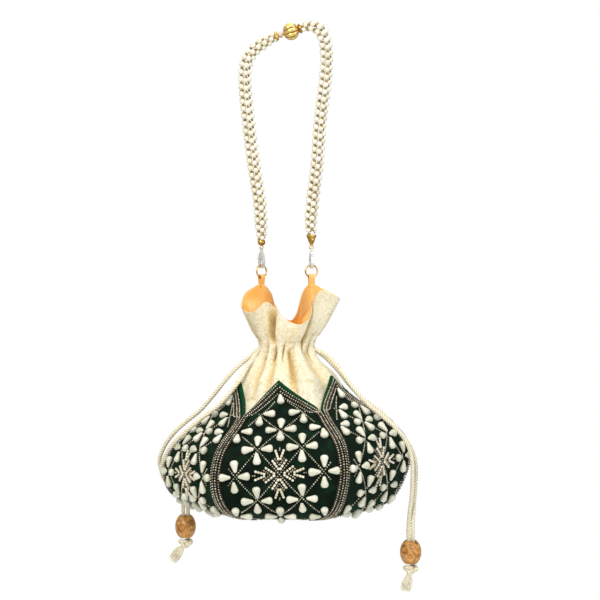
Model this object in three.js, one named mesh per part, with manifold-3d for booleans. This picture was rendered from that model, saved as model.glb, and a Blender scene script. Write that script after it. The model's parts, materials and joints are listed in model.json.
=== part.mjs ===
// Potli bag: a drawstring pouch of six velvet petal panels under a gathered brocade collar,
// hung from a strap of pearl strands. Millimetres, +Z up, +Y away from the front.
// The origin is where a hook or a hand carries the strap, just under the gold ball.
import * as THREE from "three";
import { mergeVertices } from "three/addons/utils/BufferGeometryUtils.js";
import Module from "manifold-3d";

const wasm = await Module();
wasm.setup();
const { degToRad, lerp, smoothstep } = THREE.MathUtils;

// Gap left between pieces that touch, and the wider one of a piece that turns
const clearance = 0.3;
const runningGap = 0.4;

// Pouch: radii are measured to the seams, heights from the hang point
const panelCount = 6;
const panelThickness = 2.4;
const pouchTurn = degToRad(-3);
const baseRadius = 52;
const baseZ = -402.5;
const bellyRadius = 104.6;
const bellyZ = -365.5;
const shoulderRadius = 71.4;
const shoulderZ = -321;
const tipRadius = 46;
const tipZ = -288;
const notchDepth = 30;
const bellyRoundness = 0.12;
const tipRoundness = 0.6;
const leanSlope = 0.07;

// Drop pearls, sewn on in flowers of four with their tips together, on a lattice up each panel
const latticeAcross = 17.6;
const latticeUp = 20.4;
const latticeZ = -360.5;
const latticeSide = 2;
const latticeTop = 3;
const latticeBottom = -2;
const petalReach = 7.7;
const dropLength = 9.8;
const dropWidth = 6.6;
const dropHeight = 8.4;
const dropSeat = -0.1;
const dropSides = 3;
const seamMargin = 9;
const petalMargin = 13;
const tipDrop = 15.5;

// Collar and lining
const collarThickness = 1.1;
const skirtOverlap = 4;
const skirtGap = 1;
const neckRadius = 21.7;
const neckZ = -265;
const neckCentre = 0.8;
const pleatCount = 8;
const pleatDepth = 1.5;
const liningThickness = 0.8;
const liningGap = 0.5;

// Hanging hardware, one set on each side
const hangSpan = 21.2;
const claspPivotZ = -178.5;
const ringPivotZ = -193;
const ringRadius = 5.2;
const ringWire = 0.6;
const ringSeatGap = 0.65;
const tabWall = 0.9;
const tabFoot = 1.1;
const tabSeatGap = 0.6;
const tabLoopGap = 1.1;
const tabWidths = { left: 4, right: 5 };
const ringTurns = { left: degToRad(40), right: degToRad(15) };
const eyeRadius = 1.6;
const eyeWire = 0.45;
const linkRadius = 1.7;
const linkWire = 0.4;
const hookWidth = 7;
const hookWall = 1.7;
const hookBar = 1.5;
const hookHoleHeight = 6.8;
const claspThickness = 2.4;
const leverLength = 5;
const leverPivotOut = 2.2;
const leverEar = 1.2;
const leverSweep = 0.5;
const capLengths = { left: 5, right: 9 };
const capRadii = { left: 3.4, right: 4.3 };

// Strap
const strandCount = 5;
const strandRadius = 2.2;
const seedRadius = 0.9;
const beadPitch = 6.2;
const bundleRadius = 4.3;
const bundleEndRadius = 2.7;
const strandEndRadius = 1.2;
const ballRadius = 7.4;
const ballLength = 13.6;
const ballRibs = 10;
const ballRibDepth = 0.9;
const ballRise = degToRad(18);
const ballCentre = new THREE.Vector3(3.8, 0, 5.5);
const coreRadius = 0.7;
const cupRadius = 4.4;
const cupLength = 2.4;
const paleBeadRadius = 2.6;

// Drawcords
const cordRadius = 1.85;
const woodRadius = 9;
const woodLength = 19.6;
const woodBore = 4.3;
const knotRadius = 5.8;
const knotLength = 9;
const tailLength = 14;
const tailRadius = 3.6;

// The mouth's edge, by hand, from the right tab round the back: x, y, z and, in degrees, where the
// thread of cloth that ends there leaves the neck. The two high places carry the tabs.
const mouthPoints = [
  [21, 0, -209, 0], [15, 6, -216, 22], [11, 15, -231, 44], [4, 20, -240, 68], [-4, 19, -237, 92],
  [-11, 13, -227, 118], [-15, 5, -215, 142], [-21, 0, -209, 162], [-28, 2, -212, 171],
  [-36, 3, -218, 180], [-38.5, -4, -230, 191], [-32, -11, -233.3, 202], [-25, -15.5, -231, 213],
  [-17, -17, -224.4, 224], [-11, -16.5, -227.5, 236], [-4, -20, -236, 250], [4, -23, -241.4, 264],
  [12.5, -24.5, -243, 279], [20, -22, -237.5, 294], [23.5, -18.5, -225, 306], [29, -15.5, -215, 316],
  [38, -12.5, -217.5, 325], [45.5, -7, -221.5, 334], [40, -2, -218, 343], [30, 1, -213, 352],
];

// Drawcord routes, by hand, from the channel at the neck down over the pouch and through the beads
const cordRoutes = {
  left_outer: [
    [-24.5, -4, -265.5], [-32, -8, -271.5], [-42, -11, -280], [-52, -11, -291], [-62, -9, -303.5],
    [-73, -7, -316], [-84, -4, -325], [-95, 0, -335], [-104, 5, -347], [-109, 12, -360],
    [-107, 22, -372], [-99.5, 32, -381], [-93.8, 37, -390], [-90.9, 38.2, -399], [-90.6, 38, -410],
  ],
  left_inner: [
    [-24.9, -8.6, -267.6], [-31.5, -17, -276.5], [-38, -25, -288], [-47, -28, -300], [-57, -29, -311],
    [-69, -28, -320], [-81, -25, -330], [-93, -19, -341], [-102, -10, -354], [-106.5, 2, -367],
    [-104, 14, -378], [-96, 25, -387.5], [-89.3, 33.4, -395], [-86.7, 37.2, -402], [-86.4, 38, -411],
  ],
  right_front: [
    [25.3, -7.2, -265], [33.5, -13.5, -268.5], [42, -19, -277], [50, -23, -288], [59, -26, -300],
    [69, -27, -310.5], [81, -26, -320.5], [93.2, -23.5, -331.5], [102, -20.5, -344.5], [105.5, -18, -358],
    [106, -16, -372], [105.5, -13, -388], [104, -10, -402], [103.1, -8, -415], [103.1, -8, -427],
  ],
  right_back: [
    [25.8, 2.6, -266.1], [34.5, 7.5, -273], [44, 12, -283], [54, 14, -295.5], [65.4, 14.2, -307.3],
    [78.7, 13.4, -317.2], [90.4, 12.4, -328], [101, 10, -341], [108.5, 8, -354], [110.5, 5, -368],
    [109.5, 1, -383], [108, -4, -398], [107, -7.5, -411], [106.9, -8, -420], [106.9, -8, -430],
  ],
};
const woodBeads = { left: [-88.5, 38, -420.3], right: [105, -8, -435.6] };
const tailLeans = { left: [-0.6, 0, -0.8], right: [-0.25, 0, -0.97] };

// The middle line of the five strands in each half, by hand, between the ball and the end cap: x, z
const strapRoutes = {
  left: [
    [-20, -4.5], [-28, -10.2], [-33.6, -19], [-35.7, -33], [-32.7, -69.7], [-28, -108], [-23.3, -138], [-21.6, -160],
  ],
  right: [
    [20.5, 10.4], [27.8, 7.5], [32.6, -3], [33.8, -20], [32.7, -36], [28.5, -70], [25.6, -108], [22, -138],
    [20.6, -155],
  ],
};

const finishes = {
  velvet: { color: 0x0d2a1c, roughness: 0.95, metalness: 0 },
  brocade: { color: 0xefe4c6, roughness: 0.7, metalness: 0 },
  satin: { color: 0xeaa648, roughness: 0.45, metalness: 0 },
  gold: { color: 0xe6bd5c, roughness: 0.25, metalness: 1 },
  silver: { color: 0xd8d8d4, roughness: 0.2, metalness: 1 },
  pearl: { color: 0xeee6cf, roughness: 0.3, metalness: 0 },
  paleBead: { color: 0xf3dcc4, roughness: 0.2, metalness: 0 },
  cord: { color: 0xefe8cc, roughness: 0.85, metalness: 0 },
  wood: { color: 0xc98a3c, roughness: 0.5, metalness: 0 },
};

const bag = new THREE.Group();

function addPiece(name, geometry, finish) {
  const mesh = new THREE.Mesh(geometry, new THREE.MeshStandardMaterial(finishes[finish]));
  mesh.name = name;
  bag.add(mesh);
  return mesh;
}

// Booleans: a merged closed geometry in, a plain geometry out
function toSolid(geometry) {
  const bare = geometry.clone();
  bare.deleteAttribute("normal");
  bare.deleteAttribute("uv");
  const merged = mergeVertices(bare, 1e-4);
  const triangles = [];
  for (let i = 0; i < merged.index.count; i += 3) {
    const [a, b, c] = merged.index.array.slice(i, i + 3);
    if (a !== b && b !== c && c !== a) triangles.push(a, b, c);
  }
  return new wasm.Manifold(new wasm.Mesh({
    numProp: 3,
    vertProperties: new Float32Array(merged.attributes.position.array),
    triVerts: new Uint32Array(triangles),
  }));
}

function toGeometry(solid) {
  const mesh = solid.getMesh();
  const geometry = new THREE.BufferGeometry();
  geometry.setAttribute("position", new THREE.BufferAttribute(mesh.vertProperties, 3));
  geometry.setIndex(new THREE.BufferAttribute(mesh.triVerts, 1));
  return geometry;
}

// A wall between two grids of points, rows upwards and columns round the axis.
// A closed wall runs all the way round; an open one has two side faces.
function wall(outer, inner, closed) {
  const columns = outer.length;
  const rows = outer[0].length;
  const positions = [...outer.flat(), ...inner.flat()].flatMap((point) => point.toArray());
  const outerAt = (i, j) => (i % columns) * rows + j;
  const innerAt = (i, j) => columns * rows + outerAt(i, j);
  const indices = [];
  const quad = (a, b, c, d) => indices.push(a, b, c, a, c, d);
  const spans = closed ? columns : columns - 1;
  for (let i = 0; i < spans; i++) {
    for (let j = 0; j < rows - 1; j++) {
      quad(outerAt(i, j), outerAt(i + 1, j), outerAt(i + 1, j + 1), outerAt(i, j + 1));
      quad(innerAt(i, j), innerAt(i, j + 1), innerAt(i + 1, j + 1), innerAt(i + 1, j));
    }
    quad(outerAt(i, rows - 1), outerAt(i + 1, rows - 1), innerAt(i + 1, rows - 1), innerAt(i, rows - 1));
    quad(outerAt(i, 0), innerAt(i, 0), innerAt(i + 1, 0), outerAt(i + 1, 0));
  }
  for (let j = 0; j < rows - 1 && !closed; j++) {
    quad(outerAt(0, j), outerAt(0, j + 1), innerAt(0, j + 1), innerAt(0, j));
    quad(outerAt(spans, j), innerAt(spans, j), innerAt(spans, j + 1), outerAt(spans, j + 1));
  }
  const geometry = new THREE.BufferGeometry();
  geometry.setAttribute("position", new THREE.Float32BufferAttribute(positions, 3));
  geometry.setIndex(indices);
  return geometry;
}

// Bends a geometry that stands along +Y, from 0 up to its length, along a path
function bendAlong(geometry, path, length) {
  const frameSteps = 240;
  const frames = path.computeFrenetFrames(frameSteps, false);
  const positions = geometry.attributes.position;
  const vertex = new THREE.Vector3();
  for (let i = 0; i < positions.count; i++) {
    vertex.fromBufferAttribute(positions, i);
    const share = THREE.MathUtils.clamp(vertex.y / length, 0, 1);
    const frame = Math.round(share * frameSteps);
    const point = path.getPointAt(share);
    point.addScaledVector(frames.normals[frame], vertex.x);
    point.addScaledVector(frames.binormals[frame], -vertex.z);
    positions.setXYZ(i, point.x, point.y, point.z);
  }
  return geometry;
}

function turned(profile, segments) {
  const points = profile.map(([radius, height]) => new THREE.Vector2(radius, height));
  return new THREE.LatheGeometry(points, segments);
}

// Stands a geometry made along +Y on a point, with its +Y along a direction
function aim(geometry, from, direction) {
  const turn = new THREE.Quaternion().setFromUnitVectors(new THREE.Vector3(0, 1, 0), direction);
  geometry.applyQuaternion(turn);
  geometry.translate(from.x, from.y, from.z);
  return geometry;
}

// The pouch's side seen in section through a seam, from the base's edge up to the petal tips
const pouchProfile = new THREE.CatmullRomCurve3([
  new THREE.Vector3(baseRadius, 0, baseZ),
  new THREE.Vector3(lerp(baseRadius, bellyRadius, 0.47), 0, lerp(baseZ, bellyZ, 0.13)),
  new THREE.Vector3(lerp(baseRadius, bellyRadius, 0.8), 0, lerp(baseZ, bellyZ, 0.4)),
  new THREE.Vector3(bellyRadius, 0, bellyZ),
  new THREE.Vector3(lerp(shoulderRadius, bellyRadius, 0.83), 0, lerp(shoulderZ, bellyZ, 0.5)),
  new THREE.Vector3(shoulderRadius, 0, shoulderZ),
  new THREE.Vector3(lerp(tipRadius, shoulderRadius, 0.3), 0, lerp(tipZ, shoulderZ, 0.48)),
  new THREE.Vector3(tipRadius, 0, tipZ),
]);

// The share of the profile's length at which it reaches a height
function profileShareAt(z) {
  let low = 0;
  let high = 1;
  for (let i = 0; i < 24; i++) {
    const middle = (low + high) / 2;
    if (pouchProfile.getPointAt(middle).z < z) low = middle;
    else high = middle;
  }
  return low;
}

// A soft hexagon: flat between the seams at roundness 0, a circle at roundness 1
function hexagonShare(azimuth, z) {
  const roundness = lerp(bellyRoundness, tipRoundness, smoothstep(z, bellyZ, tipZ));
  const span = 2 * Math.PI / panelCount;
  const local = THREE.MathUtils.euclideanModulo(azimuth - pouchTurn, span) - span / 2;
  const flat = Math.cos(span / 2) / Math.cos(local);
  return lerp(flat, 1, roundness);
}

// The filled pouch sags to its left: heights shift with x, but not at the base or the neck
function settle(point) {
  const lower = smoothstep(point.z, baseZ + 2, baseZ + 30);
  const upper = 1 - smoothstep(point.z, tipZ - 4, neckZ);
  point.z += leanSlope * point.x * lower * upper;
  return point;
}

// A point of the pouch's wall, set in from its outer face along the profile's normal
function pouchPoint(azimuth, share, inset) {
  const point = pouchProfile.getPointAt(share);
  const tangent = pouchProfile.getTangentAt(share);
  const hexagon = hexagonShare(azimuth, point.z);
  const radius = hexagon * (point.x - tangent.z * inset);
  const z = point.z + tangent.x * inset;
  return settle(new THREE.Vector3(radius * Math.cos(azimuth), radius * Math.sin(azimuth), z));
}

// How far a petal's edge has dropped from its tip, from 0 at its middle to 1 at the seam
function petalDrop(across) {
  return 1 - Math.pow(1 - Math.abs(across), 1.2);
}

const panelColumns = 8;

function velvetPanel(index) {
  const columns = panelColumns;
  const rows = 8;
  const span = 2 * Math.PI / panelCount;
  const middle = pouchTurn - Math.PI / 2 + index * span;
  const outer = [];
  const inner = [];
  for (let i = 0; i <= columns; i++) {
    const across = lerp(-1, 1, i / columns);
    const top = profileShareAt(tipZ - notchDepth * petalDrop(across) - 0.01);
    outer.push([]);
    inner.push([]);
    for (let j = 0; j <= rows; j++) {
      const share = top * j / rows;
      const radius = pouchProfile.getPointAt(share).x;
      const azimuth = middle + across * (span / 2 - clearance / 2 / (radius - panelThickness));
      outer[i].push(pouchPoint(azimuth, share, 0));
      inner[i].push(pouchPoint(azimuth, share, panelThickness));
    }
  }
  return wall(outer, inner, false);
}

// A place on a panel: x to the side of its middle line, and run up its profile from the base
const profileLength = pouchProfile.getLength();

function flatRadius(share) {
  const point = pouchProfile.getPointAt(share);
  return point.x * hexagonShare(pouchTurn + Math.PI / panelCount, point.z);
}

function panelPoint(index, x, run, lift) {
  const share = THREE.MathUtils.clamp(run / profileLength, 0, 1);
  const middle = pouchTurn - Math.PI / 2 + index * 2 * Math.PI / panelCount;
  return pouchPoint(middle + Math.atan(x / flatRadius(share)), share, -lift);
}

// Whether a place lies inside the panel's border of seed beads
function insideBorder(x, run) {
  const turn = Math.atan(Math.abs(x) / flatRadius(THREE.MathUtils.clamp(run / profileLength, 0, 1)));
  const across = turn / (Math.PI / panelCount);
  if (across >= 1) return false;
  const seam = flatRadius(THREE.MathUtils.clamp(run / profileLength, 0, 1)) * Math.tan(Math.PI / panelCount);
  const top = profileShareAt(tipZ - notchDepth * petalDrop(across)) * profileLength;
  return seam - Math.abs(x) > seamMargin && top - run > petalMargin && run > 0;
}

function dropPlaces() {
  const middleRun = profileShareAt(latticeZ) * profileLength;
  const places = [{ x: 0, run: profileLength - tipDrop, toSide: 0, toTop: -1 }];
  for (let i = -latticeSide; i <= latticeSide; i++) {
    for (let j = latticeBottom; j <= latticeTop; j++) {
      if ((i + j) % 2 !== 0 || (i === 0 && j === 0)) continue;
      for (const [toSide, toTop] of [[1, 0], [-1, 0], [0, 1], [0, -1]]) {
        const x = i * latticeAcross + toSide * petalReach;
        const run = middleRun + j * latticeUp + toTop * petalReach;
        if (insideBorder(x, run)) places.push({ x, run, toSide, toTop });
      }
    }
  }
  return places;
}

function dropPearl(index, { x, run, toSide, toTop }) {
  const step = 0.3;
  const side = panelPoint(index, x + step, run, 0).sub(panelPoint(index, x - step, run, 0)).normalize();
  const up = panelPoint(index, x, run + step, 0).sub(panelPoint(index, x, run - step, 0)).normalize();
  const out = side.clone().cross(up).normalize();
  const lengthwise = side.clone().multiplyScalar(toSide).addScaledVector(up, toTop).normalize();
  const crosswise = lengthwise.clone().cross(out);
  const drop = turned([[0, -0.5], [0.5, 0.2], [0, 0.5]], dropSides);
  const basis = new THREE.Matrix4().makeBasis(crosswise, lengthwise, out);
  drop.scale(dropWidth, dropLength, dropHeight).applyMatrix4(basis);
  return drop.translate(...panelPoint(index, x, run, dropSeat).toArray());
}

function beadedPanel(index) {
  const pearls = dropPlaces().map((place) => toSolid(dropPearl(index, place)));
  return toGeometry(wasm.Manifold.union([toSolid(velvetPanel(index)), ...pearls]));
}

// The round base lies inside the panels' lower edges
function baseOutline(radius, steps) {
  const points = [];
  for (let i = 0; i < steps; i++) {
    const azimuth = pouchTurn + 2 * Math.PI * i / steps;
    const reach = radius * hexagonShare(azimuth, baseZ);
    points.push(new THREE.Vector2(reach * Math.cos(azimuth), reach * Math.sin(azimuth)));
  }
  return new THREE.Shape(points);
}

function baseDisc(radius, steps, bottomZ, thickness) {
  const outline = baseOutline(radius, steps);
  const disc = new THREE.ExtrudeGeometry(outline, { depth: thickness, bevelEnabled: false });
  return disc.translate(0, 0, bottomZ);
}

// Collar: each thread runs from the skirt under the petals, up through the gathered neck, to the mouth
const mouthEdge = new THREE.CatmullRomCurve3(mouthPoints.map(([x, y, z]) => new THREE.Vector3(x, y, z)), true);
const skirtInset = panelThickness + skirtGap;
const skirtShare = profileShareAt(tipZ - notchDepth - skirtOverlap);

// The mouth's point that a thread of cloth from this direction at the neck reaches
function mouthPointAt(around) {
  const degrees = 360 * around;
  const next = mouthPoints.findIndex((point) => point[3] > degrees);
  const last = next < 0 ? mouthPoints.length - 1 : next - 1;
  const end = next < 0 ? 360 : mouthPoints[next][3];
  const start = mouthPoints[last][3];
  return mouthEdge.getPoint((last + (degrees - start) / (end - start)) / mouthPoints.length);
}

function collarThread(around) {
  const azimuth = pouchTurn + 2 * Math.PI * around;
  const out = new THREE.Vector3(Math.cos(azimuth), Math.sin(azimuth), 0);
  const ringPoint = (radius, z) => new THREE.Vector3(neckCentre, 0, z).addScaledVector(out, radius);
  const neck = ringPoint(neckRadius, neckZ);
  const mouth = mouthPointAt(around);
  const flare = neck.clone().lerp(mouth, 0.5).addScaledVector(out, 1.2);
  return new THREE.CatmullRomCurve3([
    pouchPoint(azimuth, skirtShare, skirtInset),
    pouchPoint(azimuth, (skirtShare + 1) / 2, skirtInset),
    pouchPoint(azimuth, 1, skirtInset),
    ringPoint(lerp(neckRadius, tipRadius, 0.28), lerp(neckZ, tipZ, 0.47)),
    neck,
    flare,
    mouth,
  ]);
}

const collarColumns = 4 * pleatCount;
const collarRows = 10;
const neckShare = 4 / 6;

// Gathers are deepest at the neck and gone at the mouth and under the petals
function pleat(around, along) {
  const strength = Math.exp(-Math.pow((along - neckShare) / 0.13, 2));
  return pleatDepth * strength * Math.cos(2 * Math.PI * pleatCount * around);
}

function collarPoint(around, along, inset, pleated) {
  const step = 0.004;
  const wrap = (share) => THREE.MathUtils.euclideanModulo(share, 1);
  const thread = collarThread(wrap(around));
  const point = thread.getPoint(along);
  const tangent = thread.getTangent(along);
  const beside = collarThread(wrap(around + step)).getPoint(along);
  beside.sub(collarThread(wrap(around - step)).getPoint(along));
  const normal = beside.cross(tangent).normalize();
  return point.addScaledVector(normal, (pleated ? pleat(around, along) : 0) - inset);
}

function collar() {
  const outer = [];
  const inner = [];
  for (let i = 0; i < collarColumns; i++) {
    outer.push([]);
    inner.push([]);
    for (let j = 0; j <= collarRows; j++) {
      outer[i].push(collarPoint(i / collarColumns, j / collarRows, 0, true));
      inner[i].push(collarPoint(i / collarColumns, j / collarRows, collarThickness, true));
    }
  }
  return wall(outer, inner, true);
}

// The lining hangs inside the panels and the collar, clear of the gathers
const liningInset = skirtInset + collarThickness + liningGap;

const liningPouchRows = 3;

function liningPoint(around, row, extra) {
  const azimuth = pouchTurn + 2 * Math.PI * around;
  if (row < liningPouchRows) {
    return pouchPoint(azimuth, skirtShare * row / liningPouchRows, liningInset + extra);
  }
  const along = (row - liningPouchRows) / collarRows;
  const gathers = pleatDepth * smoothstep(along, 0.3, 0.6) * (1 - smoothstep(along, 0.75, 1));
  return collarPoint(around, along, collarThickness + liningGap + gathers + extra, false);
}

function lining() {
  const rows = liningPouchRows + collarRows;
  const outer = [];
  const inner = [];
  for (let i = 0; i < collarColumns; i++) {
    outer.push([]);
    inner.push([]);
    for (let j = 0; j < rows; j++) {
      outer[i].push(liningPoint(i / collarColumns, j, 0));
      inner[i].push(liningPoint(i / collarColumns, j, liningThickness));
    }
  }
  return wall(outer, inner, true);
}

for (let i = 0; i < panelCount; i++) addPiece(`velvet_panel_${i + 1}`, beadedPanel(i), "velvet");
const wallSlope = pouchProfile.getTangentAt(0).z;
const velvetBaseRadius = baseRadius - wallSlope * panelThickness - clearance;
addPiece("velvet_base", baseDisc(velvetBaseRadius, panelCount * panelColumns, baseZ, panelThickness), "velvet");
addPiece("brocade_collar", collar(), "brocade");
addPiece("satin_lining", lining(), "satin");
const liningBaseRadius = baseRadius - wallSlope * (liningInset + liningThickness) - clearance;
const liningBase = baseDisc(liningBaseRadius, collarColumns, baseZ + liningInset, liningThickness);
addPiece("lining_base", liningBase, "satin");

// Each side's hardware hangs on one upright line. Rings and wire loops share a plane, and the clasp
// and the tab stand across it.
const sides = { left: -1, right: 1 };
const across = Math.PI / 2;
const ringCentreZ = ringPivotZ - ringRadius;
const tabPivotZ = ringCentreZ - ringRadius;
const tabSeatZ = mouthPoints[0][2] + clearance;

function hang(geometry, side, z, turn = 0) {
  return geometry.rotateZ(ringTurns[side] + turn).translate(sides[side] * hangSpan, 0, z);
}

function upright(shape, depth) {
  const slab = new THREE.ExtrudeGeometry(shape, { depth, bevelEnabled: false, curveSegments: 7 });
  return slab.translate(0, 0, -depth / 2).rotateX(Math.PI / 2);
}

function wireLoop(radius, wire, segments) {
  return new THREE.TorusGeometry(radius, wire, 6, segments).rotateX(Math.PI / 2);
}

// A satin tab: a strip folded round the ring's lower wire and sewn into the mouth's edge
function tab(side) {
  const width = tabWidths[side];
  const wireRise = ringRadius - Math.sqrt(ringRadius ** 2 - (width / 2) ** 2);
  const loopRadius = ringWire + tabLoopGap;
  const outerRadius = loopRadius + tabWall;
  const loopZ = ringWire + wireRise + tabSeatGap - loopRadius;
  const seatZ = tabSeatZ - tabPivotZ;
  const outline = new THREE.Shape();
  outline.moveTo(-tabFoot, seatZ);
  outline.lineTo(tabFoot, seatZ);
  outline.lineTo(outerRadius, loopZ);
  outline.absarc(0, loopZ, outerRadius, 0, Math.PI, false);
  outline.holes.push(new THREE.Path().absarc(0, loopZ, loopRadius, 0, 2 * Math.PI, true));
  return hang(upright(outline, width), side, tabPivotZ, across);
}

// Lobster clasp, measured down from the wire of its eye. The lever closes the gate in the hook's side.
const hookHoleBottom = ringPivotZ - claspPivotZ - ringWire - ringSeatGap;
const hookHoleTop = hookHoleBottom + hookHoleHeight;
const leverPivotZ = hookHoleTop + 0.4;

function hookOutline() {
  const half = hookWidth / 2;
  const top = -2 * eyeRadius;
  const bottom = hookHoleBottom - hookBar;
  const waist = lerp(top, bottom, 0.6);
  const outline = new THREE.Shape();
  outline.moveTo(0, top);
  outline.bezierCurveTo(half * 0.5, top, half, lerp(top, waist, 0.4), half, waist);
  outline.bezierCurveTo(half, lerp(waist, bottom, 0.65), half * 0.55, bottom, 0, bottom);
  outline.bezierCurveTo(-half * 0.55, bottom, -half, lerp(waist, bottom, 0.65), -half, waist);
  outline.bezierCurveTo(-half, lerp(top, waist, 0.4), -half * 0.5, top, 0, top);
  const hole = new THREE.Path();
  const holeMiddle = (hookHoleTop + hookHoleBottom) / 2;
  hole.absellipse(0, holeMiddle, half - hookWall, hookHoleHeight / 2, 0, 2 * Math.PI, false, 0);
  outline.holes.push(hole);
  return outline;
}

function gateZone(gap, depth, sweep = 0) {
  const zone = new THREE.Shape();
  const bottom = leverPivotZ - leverLength - gap;
  const back = leverPivotOut - 0.8 * leverEar - gap - sweep;
  zone.moveTo(back, bottom);
  zone.lineTo(hookWidth, bottom);
  zone.lineTo(hookWidth, leverPivotZ);
  zone.lineTo(back, leverPivotZ);
  const ear = new THREE.Shape();
  ear.absarc(leverPivotOut, leverPivotZ, leverEar + gap, 0, 2 * Math.PI, false);
  return toSolid(upright(zone, depth)).add(toSolid(upright(ear, depth)));
}

function clasp(side) {
  const hook = toSolid(upright(hookOutline(), claspThickness));
  const eye = toSolid(wireLoop(eyeRadius, eyeWire, 12).translate(0, 0, -eyeRadius));
  const body = hook.subtract(gateZone(clearance, 2 * claspThickness, leverSweep)).add(eye);
  return hang(toGeometry(body), side, claspPivotZ, across);
}

function lever(side) {
  const bar = toSolid(upright(hookOutline(), claspThickness)).intersect(gateZone(0, claspThickness - clearance));
  const thumb = new THREE.Shape();
  thumb.absarc(hookWidth / 2 + 0.2, leverPivotZ - leverEar / 2, leverEar * 0.7, 0, 2 * Math.PI, false);
  const solid = bar.add(toSolid(upright(thumb, claspThickness - clearance)));
  return hang(toGeometry(solid), side, claspPivotZ, across);
}

// End caps: turned beads that gather the strands, each with the wire loop that holds its clasp
const linkCentreZ = claspPivotZ - eyeWire - linkWire - clearance + linkRadius;
const capBottomZ = linkCentreZ + linkRadius - linkWire / 2;
const capProfiles = {
  left: [[0, 0], [0.3, 0], [0.8, 0.2], [1, 0.5], [0.85, 0.85], [0.75, 1], [0, 1]],
  right: [[0, 0], [0.28, 0], [0.5, 0.25], [0.72, 0.6], [1, 0.9], [0.92, 1], [0, 1]],
};

function cap(side) {
  const profile = capProfiles[side].map(([out, up]) => [out * capRadii[side], up * capLengths[side]]);
  const bead = turned(profile, 12).rotateX(Math.PI / 2).translate(0, 0, capBottomZ - linkCentreZ);
  const solid = toSolid(bead).add(toSolid(wireLoop(linkRadius, linkWire, 12)));
  return hang(toGeometry(solid), side, linkCentreZ);
}

// The ball and what is threaded beside it, measured along its tilted axis from its centre
const ballAxis = new THREE.Vector3(Math.cos(ballRise), 0, Math.sin(ballRise));
const alongBall = (distance) => ballCentre.clone().addScaledVector(ballAxis, distance);
const paleBeadStart = -ballLength / 2 - clearance;
const paleBeadEnd = paleBeadStart - 1.8 * paleBeadRadius;
const cupStarts = { left: paleBeadEnd - clearance, right: ballLength / 2 + clearance };

function threaded(geometry, start) {
  return aim(geometry, alongBall(start), ballAxis);
}

function bored(geometry, length) {
  const bore = new THREE.CylinderGeometry(coreRadius + runningGap, coreRadius + runningGap, 2 * length, 10);
  return toGeometry(toSolid(geometry).subtract(toSolid(bore)));
}

function melonBall() {
  const sphere = new THREE.SphereGeometry(1, 4 * ballRibs, 7);
  const positions = sphere.attributes.position;
  for (let i = 0; i < positions.count; i++) {
    const angle = Math.atan2(positions.getZ(i), positions.getX(i));
    const reach = ballRadius - ballRibDepth * (1 - Math.cos(ballRibs * angle)) / 2;
    positions.setXYZ(i, positions.getX(i) * reach, positions.getY(i) * ballLength / 2, positions.getZ(i) * reach);
  }
  return threaded(bored(sphere, ballLength), 0);
}

function paleBead() {
  const length = paleBeadStart - paleBeadEnd;
  const bead = new THREE.SphereGeometry(paleBeadRadius, 10, 6).scale(1, length / 2 / paleBeadRadius, 1);
  return threaded(bored(bead, length), (paleBeadStart + paleBeadEnd) / 2);
}

function gatherCup(side) {
  const profile = [[0, 0], [cupRadius * 0.45, 0], [cupRadius * 0.8, cupLength * 0.4], [cupRadius, cupLength], [0, cupLength]];
  const cup = turned(profile, 12);
  return aim(cup, alongBall(cupStarts[side]), ballAxis.clone().multiplyScalar(sides[side]));
}

function core() {
  const length = cupStarts.right - cupStarts.left - 2 * clearance;
  const cord = new THREE.CylinderGeometry(coreRadius, coreRadius, length, 8).translate(0, length / 2, 0);
  return threaded(cord, cupStarts.left + clearance);
}

// Strap strands stand round the middle line of their half and draw together at its ends
function strandPath(side, index) {
  const start = alongBall(cupStarts[side] + sides[side] * (cupLength + clearance));
  const capTop = capBottomZ + capLengths[side] + clearance;
  const end = new THREE.Vector3(sides[side] * hangSpan, 0, capTop);
  const middle = strapRoutes[side].map(([x, z]) => new THREE.Vector3(x, 0, z));
  const line = new THREE.CatmullRomCurve3([start, ...middle, end]);
  const stations = 16;
  const points = [];
  for (let i = 0; i <= stations; i++) {
    const share = i / stations;
    const tangent = i === 0 ? ballAxis.clone().multiplyScalar(sides[side]) : line.getTangentAt(share);
    if (i === stations) tangent.set(0, 0, -1);
    const depth = new THREE.Vector3(0, 1, 0);
    const beside = tangent.clone().cross(depth);
    const spread = Math.min(1, 8 * Math.min(share, 1 - share));
    const reach = lerp(bundleEndRadius, bundleRadius, smoothstep(spread, 0, 1));
    const angle = 2 * Math.PI * index / strandCount;
    const point = line.getPointAt(share);
    point.addScaledVector(beside, reach * Math.cos(angle)).addScaledVector(depth, reach * Math.sin(angle));
    points.push(point);
  }
  return new THREE.CatmullRomCurve3(points);
}

// A thread of pearls, each drawn in at its ends where the small gold seeds sit between them
function strand(side, index) {
  const path = strandPath(side, index);
  const length = path.getLength();
  const beads = Math.round(length / beadPitch);
  const profile = [[0, 0]];
  for (let i = 0; i <= 2 * beads; i++) {
    const share = i / (2 * beads);
    const spread = Math.min(1, 8 * Math.min(share, 1 - share));
    const full = lerp(strandEndRadius, strandRadius, smoothstep(spread, 0, 1));
    profile.push([i % 2 === 0 ? seedRadius : full, length * share]);
  }
  profile.push([0, length]);
  return bendAlong(turned(profile, 5), path, length);
}

// Drawcords, and what hangs on each pair
function cordTube(route) {
  const path = new THREE.CatmullRomCurve3(route.map((point) => new THREE.Vector3(...point)));
  const length = path.getLength();
  const steps = Math.round(length / (6 * cordRadius));
  const tube = new THREE.CylinderGeometry(cordRadius, cordRadius, length, 8, steps);
  return bendAlong(tube.translate(0, length / 2, 0), path, length);
}

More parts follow.
